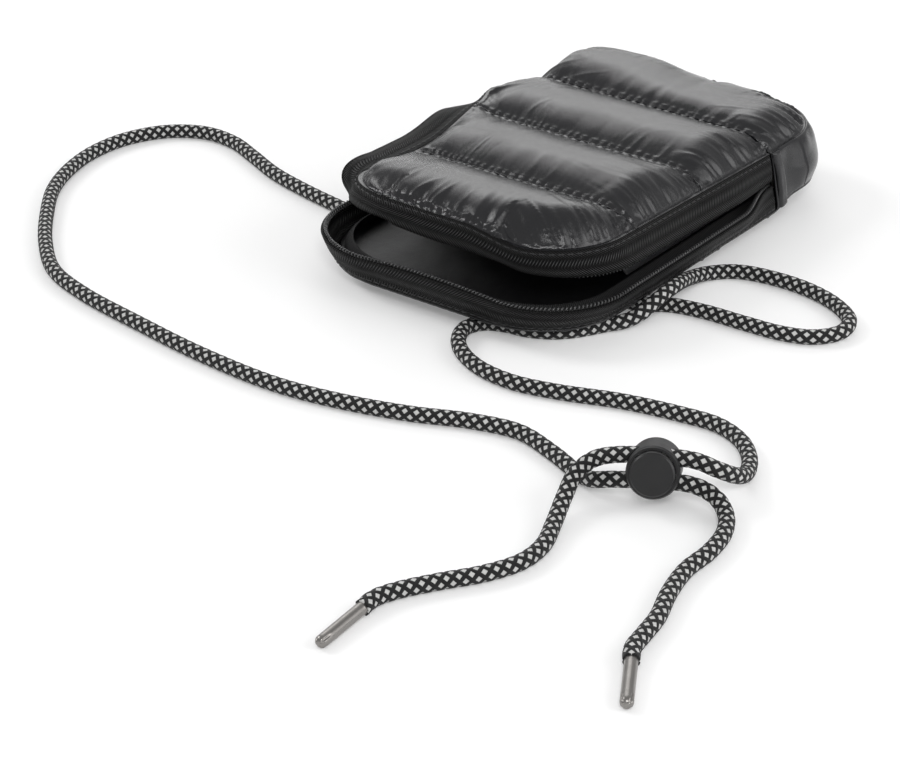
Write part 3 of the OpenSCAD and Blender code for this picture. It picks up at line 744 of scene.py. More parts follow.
@dataclass(frozen=True)
class Pattern:
    """Sizes that the sewn pieces share, in millimetres, as in the part's source, and how the cloth
    lies where it departs from the solids."""

    half_front: float = 54.0
    half_back: float = 57.5
    half_zip: float = 56.0
    length: float = 175.0
    corner: float = 32.0
    end_corner: float = 26.0
    back_reach: float = 7.0
    seams: tuple[float, float, float] = (40.0, 85.0, 130.0)
    hinge_y: float = 130.0
    gap: float = 0.6
    mid_y: float = 84.5
    rim_h: float = 6.0
    floor_z: float = 6.6
    rim_t: float = 0.6
    lining_z: float = 8.6
    front_z: float = 28.6
    hinge_z: float = 35.0
    lid_open: float = 2.0
    tape_w: float = 10.2
    tape_t: float = 0.9
    coil_w: float = 2.2
    coil_t: float = 1.8
    near_end: float = 129.0
    zip_end: float = 130.5
    straight_y: float = 33.0
    near_fade: float = 28.0
    far_fade: float = 18.0
    held_y: float = 109.0
    wadding: float = 1.4
    lining: float = 0.6
    inset: float = 1.6
    pull_end: float = 113.0
    pull_full: float = 40.0
    pull_in: float = 12.0
    pull_up: float = 4.3
    far_lift: float = 3.5
    dome_edge: float = 1.5
    dome_turn: float = 16.0
    far_turn: float = 6.0
    roundness: float = 2.2
    turn_up: float = 3.0
    turn_up_w: float = 12.0
    turn_up_y: float = 128.0
    turn_up_run: float = 15.0

    def seat(self, p: Grid) -> Grid:
        """Sewing coordinates moved into the part's frame."""
        return np.asarray(p, float) - [0, self.mid_y, 0]

    def lid(self, p: Grid) -> Grid:
        """Seat the lid: its cloth settles, and the whole turns up about the hinge seam.

        Args:
            p: Sewing coordinates of points of the shut lid.

        Returns:
            The points in the part's frame.
        """
        a = math.radians(self.lid_open)
        q = self.settled(np.asarray(p, float)) - [0, self.hinge_y, self.hinge_z]
        y = q[..., 1] * math.cos(a) + q[..., 2] * math.sin(a)
        z = -q[..., 1] * math.sin(a) + q[..., 2] * math.cos(a)
        return self.seat(np.stack([q[..., 0], y, z], -1) + [0, self.hinge_y, self.hinge_z])

    def pull(self, y: Grid) -> Grid:
        """Share of the full draw of the lid's far rim: a quarter sine from 0 at the slider to 1,
        faded out again at the mouth.

        Args:
            y: Places along the front.

        Returns:
            The share at each place.
        """
        c = np.clip((self.pull_end - y) / (self.pull_end - self.pull_full), 0, 1)
        return np.sin(np.pi / 2 * c) * smooth(3 * c) * smooth((y - 3) / 27)

    def settled(self, p: Grid) -> Grid:
        """The lid's cloth as it lies: the far side is drawn in, and the rim from the middle of the
        mouth round to the slider stands as high as the dome. Both fade by smooth steps.

        Args:
            p: Points of the lid in sewing coordinates.

        Returns:
            The moved points.
        """
        x, y = p[..., 0], p[..., 1]
        drawn = self.pull_in * self.pull(y) * smooth((-x - 6) / 44)
        lift = self.pull_up + self.far_lift * smooth((y - 45) / 40) * smooth(-x / 30)
        raised = lift * (1 - smooth((x - 8) / 30)) * (1 - smooth((y - 100) / 30))
        raised = raised * (1 - self.dome_share(x, y))
        return p + np.stack([drawn, 0 * drawn, raised], -1)

    def dome_share(self, x: Grid, y: Grid) -> Grid:
        """Share of the front's dome at a place: the product of a rounded step in from the rim
        beside it and one in from each end.

        Args:
            x: Place across the front.
            y: Place along it.

        Returns:
            From 0 at the rim to 1 inside.
        """
        rim = self.inset_at(x, y, self.half_front, 0, self.length) - self.dome_edge
        side, mouth, end = (self.rounded(distance, width) for distance, width in (
            (rim, self.turn(x)), (y, self.dome_turn), (self.length - y, self.dome_turn)))
        return side * mouth * end

    def rounded(self, distance: Grid, width: Grid | float) -> Grid:
        """A rounded step: 1 minus the power of the share of the width that is still to go."""
        return 1 - (1 - np.clip(distance / width, 0, 1)) ** self.roundness

    def turn(self, x: Grid) -> Grid:
        """Width over which the quilt turns down to its rim: less on the far side."""
        return self.dome_turn - self.far_turn * smooth((-x - 15) / 20)

    def end_rise(self, y: Grid) -> Grid:
        """How much the back's own rim turns up beside and round the hinge end."""
        return self.turn_up * smooth((y - self.turn_up_y) / self.turn_up_run)

    def base_rise(self, x: Grid, y: Grid) -> Grid:
        """How much the back turns up round the hinge end: the rim's rise, faded inwards.

        Args:
            x: Place across the back.
            y: Place along it.

        Returns:
            The rise at each place.
        """
        side = self.inset_at(x, y, self.half_back, -self.back_reach, self.length)
        inset = np.minimum(side, self.length - y)
        return self.end_rise(y) * (1 - smooth(inset / self.turn_up_w))

    def half_at(self, y: Grid, half: float, y0: float, y1: float) -> Grid:
        """Half width of a panel along it: full between its corners, along a circle in them.

        Args:
            y: Places along the panel.
            half: Its full half width.
            y0: Its mouth end.
            y1: Its hinge end.

        Returns:
            The half width at each place.
        """
        low = np.clip(y0 + self.corner - y, 0, self.corner)
        high = np.clip(y - y1 + self.end_corner, 0, self.end_corner)
        mouth = half - self.corner + np.sqrt(self.corner**2 - low**2)
        end = half - self.end_corner + np.sqrt(self.end_corner**2 - high**2)
        return np.minimum(mouth, end)

    def inset_at(self, x: Grid, y: Grid, half: float, y0: float, y1: float) -> Grid:
        """Distance of a point from the rim beside it: across the panel, and in a corner from its
        circle.

        Args:
            x: Place across the panel.
            y: Place along it.
            half: Its full half width.
            y0: Its mouth end.
            y1: Its hinge end.

        Returns:
            The distance, below 0 outside.
        """
        r = np.where(y < (y0 + y1) / 2, self.corner, self.end_corner)
        across = np.abs(x) - half + r
        along = np.maximum(np.maximum(y0 + r - y, y - y1 + r), 0)
        return np.where(across > 0, r - np.hypot(np.maximum(across, 0), along), r - across)


@dataclass
class MouthRun:
    """Stations round the pouch's open side, from the near zip end round the mouth to the far side.

    Each station has m, which runs from 1 on the near side to -1 on the far side, an angle round
    the corner and a place along the side.
    """

    pattern: Pattern
    far_y: float
    step: float = 0.8
    m: Grid = field(init=False)
    side: Grid = field(init=False)
    angle: Grid = field(init=False)
    y: Grid = field(init=False)

    def __post_init__(self) -> None:
        """Lay the stations out evenly, part by part."""
        p = self.pattern
        flat = p.half_front - p.corner
        near = np.arange(p.near_end, p.straight_y, -self.step)
        arc = np.linspace(0, 90, int(p.corner * math.pi / 2 / self.step))
        mouth = np.linspace(1, -1, int(2 * flat / self.step))[1:-1]
        far = np.append(np.arange(p.straight_y, self.far_y, self.step), self.far_y)
        one = np.ones
        self.m = np.concatenate([one(len(near)), one(len(arc)), mouth, -one(len(arc)), -one(len(far))])
        self.side = np.where(self.m >= 0, 1.0, -1.0)
        self.angle = np.concatenate([0 * near, arc, 90 + 0 * mouth, arc[::-1], 0 * far])
        self.y = np.concatenate([near, p.corner - p.corner * np.sin(np.radians(arc)), 0 * mouth,
                                 p.corner - p.corner * np.sin(np.radians(arc[::-1])), far])

    def only(self, keep: Grid) -> MouthRun:
        """The marked stations alone.

        Args:
            keep: True for each station that stays.

        Returns:
            The shorter run.
        """
        part = MouthRun(self.pattern, self.far_y)
        part.m, part.side, part.angle, part.y = (a[keep] for a in (self.m, self.side, self.angle, self.y))
        return part

    def rim(self, half: float, y0: float, z: float) -> Grid:
        """Points on an outline: straight sides and mouth, joined by circles.

        Args:
            half: The outline's half width.
            y0: Place of its mouth.
            z: Its level.

        Returns:
            One point for each station.
        """
        p, a = self.pattern, np.radians(self.angle)
        straight = self.angle == 0
        x = self.m * (half - p.corner) + self.side * p.corner * np.cos(a)
        x = np.where(self.angle == 90, self.m * (half - p.corner), x)
        y = np.where(straight, self.y, y0 + p.corner - p.corner * np.sin(a))
        return np.stack([x, y, np.full_like(x, z)], -1)

    def out(self) -> Grid:
        """Outward level direction: cosine and sine of the corner's angle.

        Returns:
            One unit vector for each station.
        """
        a = np.radians(self.angle)
        side = np.where(self.angle == 90, 0, self.side)
        return np.stack([side * np.cos(a), -np.sin(a), 0 * a], -1)

    def openness(self) -> Grid:
        """How far the zip has opened up: smooth steps on both sides, all of it round the mouth.

        Returns:
            From 0 to 1 for each station.
        """
        p = self.pattern
        near = smooth((p.near_end - self.y) / p.near_fade)
        far = 1 - smooth((self.y - p.straight_y) / p.far_fade)
        return np.where(self.angle > 0, 1, np.where(self.side > 0, near, far))

    def edge(self, rim: Grid, half: float, y0: float, up: int) -> Grid:
        """Free edge of a tape: between the shut place and the flared one, as far below or above
        the rim as leaves the tape its width.

        Args:
            rim: The tape's points on the rim.
            half: Half width of the flared outline.
            y0: Place of its mouth.
            up: 1 for a tape that stands, -1 for one that hangs.

        Returns:
            One point for each station.
        """
        p = self.pattern
        w = self.openness()[:, None]
        shut = self.rim(p.half_zip, -p.back_reach / 2, 0)
        plan = shut * (1 - w) + self.rim(half, y0, 0) * w
        d = np.linalg.norm(plan[:, :2] - rim[:, :2], axis=1)
        z = rim[:, 2] + up * np.sqrt(p.tape_w**2 - d**2)
        return np.stack([plan[:, 0], plan[:, 1], z], -1)


@dataclass(frozen=True)
class Thread:
    """Sewing thread: a stitch's pitch and width, how far it reaches each way as a share of its
    pitch, how far its middle stands up as a share of its width, and how far its row lies out."""

    pitch: float = 3.2
    width: float = 0.5
    reach: float = 0.42
    stands: float = 0.15
    look: float = 0.2
    out: float = 0.05

    def row(self, name: str, path: Grid, normal: Grid) -> bpy.types.Object:
        """A row of stitches: small ellipsoids end to end along a path, half sunk in the cloth.

        Args:
            name: The piece's name.
            path: Points that the row follows.
            normal: Outward direction at each point.

        Returns:
            One mesh object with every stitch.
        """
        run = run_along(path)
        at = np.arange(self.pitch / 2, run[-1], self.pitch)
        centre, up = sample(at, run, path), unit(sample(at, run, normal))
        along = unit(sample(at + self.look, run, path) - sample(at - self.look, run, path))
        side = unit(np.cross(along, up))
        lat = np.linspace(-1, 1, 6)[1:-1, None] * math.pi / 2
        lon = np.linspace(0, 2 * math.pi, 6, endpoint=False)[None, :]
        ball = np.stack(np.broadcast_arrays(np.sin(lat), np.cos(lat) * np.cos(lon), np.cos(lat) * np.sin(lon)), -1)
        local = ball.reshape(-1, 3) * [self.pitch * self.reach, self.width / 2, self.width / 2]
        points = (centre[:, None] + local[None, :, :1] * along[:, None] + local[None, :, 1:2] * side[:, None]
                  + (local[None, :, 2:] + self.width * self.stands) * up[:, None])
        turns, count = lon.size, len(local)
        offset = (np.arange(len(at)) * count)[:, None]
        quads = quad_faces(lat.size, turns, True)
        faces = (quads[None] + offset[..., None]).reshape(-1, 4).tolist()
        ends = [np.arange(turns), np.arange(count - 1, count - 1 - turns, -1)]
        faces += [corners for end in ends for corners in (end[None] + offset).tolist()]
        return make_piece(name, points, faces)


@dataclass(frozen=True)
class PuffCloth:
    """Cloth simulation of a quilt's outer fabric, made larger than life for a steady result."""

    scale: int = 10
    quality: int = 6
    mass: float = 0.25
    air_damping: float = 3.0
    stretch: float = 18.0
    shear: float = 6.0
    bending: float = 0.2
    lift: float = 30.0
    frames: int = 26

    def rise(self, start: Grid, sewn: Grid, slack: float) -> Grid:
        """Let the cloth rise between its sewn points.

        Args:
            start: Its grid, rows by columns by 3, in millimetres.
            sewn: True for each point that is held.
            slack: Share by which the cloth is longer than its grid.

        Returns:
            The grid as it comes to rest.
        """
        rows, cols = sewn.shape
        points, faces = start.reshape(-1, 3) * MM * self.scale, quad_faces(rows, cols, False)
        mesh = bpy.data.meshes.new("cloth_work")
        mesh.from_pydata(points.tolist(), [], faces.tolist())
        work = bpy.data.objects.new("cloth_work", mesh)
        scene = bpy.context.scene
        scene.collection.objects.link(work)
        group = work.vertex_groups.new(name="sewn")
        group.add(np.flatnonzero(sewn.ravel()).tolist(), 1.0, "REPLACE")
        cloth = work.modifiers.new("cloth", "CLOTH")
        s = cloth.settings
        s.quality, s.mass, s.air_damping = self.quality, self.mass, self.air_damping
        s.tension_stiffness = s.compression_stiffness = self.stretch
        s.shear_stiffness, s.bending_stiffness = self.shear, self.bending
        s.vertex_group_mass = "sewn"
        s.shrink_min = s.shrink_max = -slack
        cloth.collision_settings.use_collision = False
        gravity = tuple(scene.gravity)
        scene.gravity = (0, 0, self.lift)
        cloth.point_cache.frame_start, cloth.point_cache.frame_end = 1, self.frames
        for frame in range(1, self.frames + 1):
            scene.frame_set(frame)
        moved = work.evaluated_get(bpy.context.evaluated_depsgraph_get()).to_mesh()
        got = np.empty(rows * cols * 3, np.float32)
        moved.vertices.foreach_get("co", got)
        bpy.data.objects.remove(work)
        bpy.data.meshes.remove(mesh)
        scene.gravity = gravity
        scene.frame_set(1)
        return got.astype(float).reshape(rows, cols, 3) / (MM * self.scale)


@dataclass(frozen=True)
class Wrinkles:
    """A quilt's small cloth shapes. Beads lie between the stitches, climbing wrinkles run up from
    the seams, gathers run in from the rim, and a furrow lies along the rim. Lengths are in
    millimetres, and each height is a share of the panel's pucker."""

    bead: float = 3.7
    bead_in: float = 1.4
    bead_w: float = 1.1
    bead_h: float = 0.85
    climb: float = 5.0
    climb_vary: float = 3.5
    climb_start: float = 1.5
    fine: float = 1.9
    fine_h: float = 0.15
    crease: float = 4.4
    crease_h: float = 0.75
    gather: float = 3.6
    gather_in: float = 6.5
    gather_vary: float = 3.0
    gather_start: float = 0.9
    gather_h: float = 1.9
    furrow: float = 1.0
    furrow_w: float = 2.0
    furrow_end: float = 9.0
    channel: float = 7.3
    half_channel: float = 3.1


@dataclass
class QuiltedPanel:
    """A quilted panel: puffs between seams that follow a power curve lengthwise and a rounded one
    at the side rims, on a dome, with puckers along every seam and gathers at the rim."""

    name: str
    pattern: Pattern
    half: float
    mouth: float
    seams: tuple[float, ...]
    level: float
    up: int
    crown: float
    border: float
    land: float
    seed: int
    dome: float = 0.0
    columns: int = 109
    row_step: float = 1.1
    crowding: float = 0.45
    bunching: float = 0.35
    pucker: float = 0.75
    fold: float = 0.7
    tuck: float = 1.2
    droop: float = 3.4
    simulated: float = 0.4
    smoothing: int = 10
    wrinkles: Wrinkles = Wrinkles()
    cloth: PuffCloth = PuffCloth()

    def lines(self) -> Grid:
        """Places of the rows along the panel: even steps less a sine, so that the rows crowd
        beside the seams.

        Returns:
            The places, from the mouth on.
        """
        lines: list[float] = []
        for a, b in zip(self.seams[:-1], self.seams[1:]):
            count = max(8, int((b - a) / self.row_step))
            t = np.linspace(0, 1, count, endpoint=False)
            lines += list(a + (b - a) * (t - np.sin(2 * np.pi * t) / (2 * np.pi) * self.crowding))
        return np.array(lines + [self.seams[-1]])

    def flat(self) -> Grid:
        """The panel's grid in the plane of its rim, a little denser at the sides.

        Returns:
            Rows by columns by 3.
        """
        y = self.lines()[:, None]
        even = np.linspace(-1, 1, self.columns)[None, :]
        s = np.sin(even * np.pi / 2) * self.bunching + even * (1 - self.bunching)
        x = s * self.pattern.half_at(y, self.half, self.mouth, self.pattern.length)
        return np.stack([x, y + 0 * x, np.full_like(x, self.level)], -1)

    def places(self, flat: Grid) -> tuple[Grid, Grid, Grid, Grid]:
        """Where each point lies among the seams.

        Args:
            flat: Points of the flat panel.

        Returns:
            Number of the channel, share of the way through it, and distances from seam and rim.
        """
        x, y = flat[..., 0], flat[..., 1]
        seams = np.array(self.seams)
        k = np.clip(np.searchsorted(seams, y, side="right") - 1, 0, len(seams) - 2)
        a, b = seams[k], seams[k + 1]
        low = np.where((k == 0) & (self.land > 0), self.border, self.land)
        high = np.where((k == len(seams) - 2) & (self.land > 0), self.border, self.land)
        t = np.clip((y - a - low) / (b - a - low - high), 0, 1)
        rim = self.pattern.inset_at(x, y, self.half, self.mouth, self.pattern.length) - self.border
        return k, t, np.minimum(y - a - low, b - high - y).clip(0), rim.clip(0)

    def puffs(self, flat: Grid) -> Grid:
        """Heights of the plain puffs: a parabola from seam to seam, rounded down at the sides, with
        broad soft folds.

        Args:
            flat: Points of the flat panel.

        Returns:
            The height at each point.
        """
        k, t, seam_d, rim_d = self.places(flat)
        x, y = flat[..., 0], flat[..., 1]
        side = self.pattern.rounded(rim_d, self.pattern.turn(x))
        body = (1 - np.exp(-seam_d / 6)) * (1 - np.exp(-rim_d / 5))
        soft = cloth_noise(x / 23 + y / 42 + self.wrinkles.channel * k, y / 19 - x / 60, self.seed + 3)
        if self.up > 0:
            span = np.min(np.diff(self.seams))
            t = np.clip((t - self.tuck / span) / (1 - 2 * self.tuck / span), 0, 1) ** 0.8
        return self.crown * (1 - np.abs(2 * t - 1) ** 2.0) * side + self.fold * body * soft

    def domed(self, flat: Grid) -> Grid:
        """How far the whole panel is domed above its rim, less on the near side of the hinge end.

        Args:
            flat: Points of the flat panel.

        Returns:
            The rise at each point.
        """
        x, y = flat[..., 0], flat[..., 1]
        droop = self.droop * smooth((y - self.pattern.hinge_y) / 25) * smooth((x + 45) / 60)
        return (self.dome - droop * (self.dome > 0)) * self.pattern.dome_share(x, y)

    def puckers(self, flat: Grid) -> Grid:
        """Heights of the small cloth shapes. Each is noise across, faded along by exponentials.

        Args:
            flat: Points of the flat panel.

        Returns:
            The height at each point.
        """
        w = self.wrinkles
        k, _, seam_d, rim_d = self.places(flat)
        x, y = flat[..., 0], flat[..., 1]
        ends = np.minimum(y - self.mouth, self.pattern.length - y) - self.border
        rim_d = np.minimum(rim_d, ends.clip(0))
        shift = w.channel * k + np.where(y > np.array(self.seams)[k] + 20, w.half_channel, 0)
        near_seam = w.bead_h * self.beads(x, seam_d, shift) + self.climbing(x, seam_d, shift)
        furrow = np.exp(-((rim_d + np.where(rim_d > 0, w.furrow_end, 0)) / w.furrow_w) ** 2)
        furrow = w.furrow * furrow * (self.up > 0)
        return self.pucker * (near_seam + w.gather_h * self.gathers(x, y, rim_d)) - furrow

    def beads(self, x: Grid, seam_d: Grid, shift: Grid) -> Grid:
        """Beads of cloth between the stitches: the sine of a slightly uneven phase across, and a
        bell curve away from the seam.

        Args:
            x: Place across the panel.
            seam_d: Distance from the seam.
            shift: Sets the channels apart.

        Returns:
            From 0 to 1 at each point.
        """
        w = self.wrinkles
        phase = np.pi * (x / w.bead + 0.3 * cloth_noise(x / 9, shift, self.seed + 5))
        return np.abs(np.sin(phase)) ** 0.7 * np.exp(-(((seam_d - w.bead_in) / w.bead_w) ** 2))

    def climbing(self, x: Grid, seam_d: Grid, shift: Grid) -> Grid:
        """Wrinkles that lean as they climb from a seam, fine ones and sharp creases.

        Args:
            x: Place across the panel.
            seam_d: Distance from the seam.
            shift: Sets the channels apart.

        Returns:
            The height at each point.
        """
        w = self.wrinkles
        lean = x + 0.3 * seam_d * cloth_noise(x / 15, shift, self.seed + 6)
        reach = w.climb + w.climb_vary * cloth_noise(x / 6, shift, self.seed + 7)
        climb = np.exp(-seam_d / reach) * (1 - np.exp(-seam_d / w.climb_start))
        fine = cloth_noise(lean / w.fine, seam_d / 22 + shift, self.seed)
        crease = 1 - 2.2 * np.abs(cloth_noise(lean / w.crease, seam_d / 16 + shift, self.seed + 1))
        return climb * (w.fine_h * fine + w.crease_h * crease)

    def gathers(self, x: Grid, y: Grid, rim_d: Grid) -> Grid:
        """Gathers that run in from the rim, as noise on the way round the panel.

        Args:
            x: Place across the panel.
            y: Place along it.
            rim_d: Distance from the rim.

        Returns:
            The height at each point.
        """
        w = self.wrinkles
        along = np.where(np.abs(x) > self.half - 30, y, 0) + np.arctan2(y - 60, x) * 45
        reach = w.gather_in + w.gather_vary * cloth_noise(along / 7, 0 * x, self.seed + 8)
        at_rim = np.exp(-rim_d / reach) * (1 - np.exp(-rim_d / w.gather_start))
        return at_rim * (0.8 - 2 * np.abs(cloth_noise(along / w.gather, rim_d / 24, self.seed + 2)))

    def surface(self) -> tuple[Grid, Grid]:
        """The finished surface.

        Returns:
            Its points and its plain grid before the puffs moved it, which carries the weave.
        """
        flat = self.flat()
        moved, height = self.inflate(flat, self.puffs(flat))
        flat, shift, height = finer(flat, 2), finer(moved - flat, 2), finer(height[..., None], 2)[..., 0]
        edge = self.pattern.half_at(flat[..., 1], self.half, self.mouth, self.pattern.length)
        flat[..., 0] = np.clip(flat[..., 0], -edge, edge)
        height = height + self.domed(flat) + self.puckers(flat)
        return flat + shift + np.stack([0 * height, 0 * height, self.up * height], -1), flat

    def sewn(self, flat: Grid) -> Grid:
        """Marks of the points that are sewn down: the four edges, the seams and the border.

        Args:
            flat: The flat panel.

        Returns:
            True for each sewn point.
        """
        marks = np.zeros(flat.shape[:2], bool)
        marks[0], marks[-1], marks[:, 0], marks[:, -1] = True, True, True, True
        for seam in self.seams:
            marks |= np.abs(flat[..., 1] - seam) <= self.land + 0.02
        return marks | (self.places(flat)[3] <= 0)

    def inflate(self, flat: Grid, height: Grid) -> tuple[Grid, Grid]:
        """Blow the puffs up by cloth simulation, and mix the result with the worked-out heights.

        Args:
            flat: The flat panel.
            height: The worked-out heights, which cap and steer the result.

        Returns:
            The points moved sideways, and their heights.
        """
        if self.up < 0:
            return flat, height
        sewn = self.sewn(flat)
        start = flat * [1, 1, 0] + [0, 0, 1] * (0.15 * height[..., None])
        got = self.cloth.rise(start, sewn, self.slack())
        z = got[..., 2]
        LOG.info("%s: simulated height %.1f mm", self.name, z.max())
        z = z * (self.crown / max(np.percentile(z[~sewn], 93), 0.1))
        top = self.crown * 1.12
        knee, room = top * 0.8, top * 0.2
        z = np.where(z > knee, knee + (z - knee) / (1 + (z - knee) / room), z)
        side = np.clip(got - flat, -1.0, 1.0) * [1, 1, 0]
        for _ in range(self.smoothing):
            z[1:-1, 1:-1] = (4 * z[1:-1, 1:-1] + z[:-2, 1:-1] + z[2:, 1:-1] + z[1:-1, :-2] + z[1:-1, 2:]) / 8
        mixed = self.simulated * z + (1 - self.simulated) * height
        return flat + self.simulated * side, np.maximum(mixed, -0.3)

    def slack(self) -> float:
        """Share by which the cloth is longer than the seams' spacing: an arc of the crown's rise."""
        span = float(np.min(np.diff(self.seams))) - 2 * self.land
        return 0.015 + 8 / 3 * (self.crown / span) ** 2


@dataclass
class Quilts:
    """The quilted front, its fixed end and the quilted back."""

    pattern: Pattern = Pattern()
    thread: Thread = Thread()
    front_crown: float = 6.0
    front_dome: float = 4.6
    front_border: float = 1.5
    back_crown: float = 6.5
    back_border: float = 10.0
    back_land: float = 4.0
    tuck_in: float = 0.02
    fill: float = 0.7

    def make(self, wardrobe: Wardrobe) -> None:
        """Build and dress the three panels with their stitches.

        Args:
            wardrobe: Dresses the pieces.
        """
        front = self.front(wardrobe)
        self.back(wardrobe)
        self.stitch(wardrobe, *front)

    def front(self, wardrobe: Wardrobe) -> tuple[Grid, Grid]:
        """The front: one panel, parted at the hinge seam into the lid's quilt and the end's.

        Args:
            wardrobe: Dresses the pieces.

        Returns:
            The outer surface of both, and the places of its every second row.
        """
        p = self.pattern
        panel = QuiltedPanel("front_quilt", p, half=p.half_front, mouth=0.0, seams=(0.0, *p.seams, p.length),
                             level=p.front_z + p.rim_t, up=1, crown=self.front_crown,
                             border=self.front_border, land=0.0, seed=11, dome=self.front_dome)
        outer, flat = panel.surface()
        split = int(np.argmin(np.abs(flat[:, 0, 1] - p.hinge_y)))
        inner = flat * [1, 1, 0] + [0, 0, p.front_z - self.tuck_in]
        lid_outer, lid_inner = outer[: split + 1].copy(), inner[: split + 1].copy()
        end_outer, end_inner = outer[split:].copy(), inner[split:].copy()
        for grid in (lid_outer, lid_inner):
            grid[-1, :, 1] = p.hinge_y - p.gap / 2
        for grid in (end_outer, end_inner):
            grid[0, :, 1] = p.hinge_y + p.gap / 2
        uv = flat[..., :2]
        lid = shell("lid_quilt", p.lid(lid_outer), p.lid(lid_inner), uv[: split + 1])
        end = shell("end_quilt", p.seat(end_outer), p.seat(end_inner), uv[split:])
        wardrobe.dress(lid, Finish.QUILT, Body.LID, "front_panel", "front_wadding")
        wardrobe.dress(end, Finish.QUILT, Body.POUCH, "end_panel", "end_wadding")
        return outer, panel.lines()

    def back(self, wardrobe: Wardrobe) -> None:
        """The back: a panel whose puffs hang down, flat where they lie on the table.

        Args:
            wardrobe: Dresses the piece.
        """
        p = self.pattern
        panel = QuiltedPanel("back_quilt", p, half=p.half_back, mouth=-p.back_reach,
                             seams=(-p.back_reach, *p.seams, p.length), level=p.rim_h, up=-1,
                             crown=self.back_crown, border=self.back_border, land=self.back_land,
                             seed=23, columns=79, row_step=1.7, pucker=0.6)
        under, flat = panel.surface()
        rise = p.base_rise(flat[..., 0], flat[..., 1])
        under[..., 2] = np.maximum(under[..., 2], 0.0) + rise
        over = flat * [1, 1, 0] + np.stack([0 * rise, 0 * rise, rise + p.floor_z - self.tuck_in], -1)
        base = shell("back_quilt", p.seat(over), p.seat(under), flat[..., :2])
        wardrobe.dress(base, Finish.QUILT, Body.POUCH, "back_panel", "back_wadding")

    def stitch(self, wardrobe: Wardrobe, outer: Grid, lines: Grid) -> None:
        """Rows of thread in the lid's seams.

        Args:
            wardrobe: Dresses the pieces.
            outer: The front's outer surface.
            lines: Places of its every second row.
        """
        p = self.pattern
        for number, seam in enumerate(p.seams[:2]):
            row = outer[2 * int(np.argmin(np.abs(lines - seam)))][4:-4] + [0, 0, self.thread.out]
            piece = self.thread.row(f"quilt_stitches_{number + 1}", p.lid(row), np.tile(UP, (len(row), 1)))
            wardrobe.dress(piece, Finish.THREAD, Body.LID)


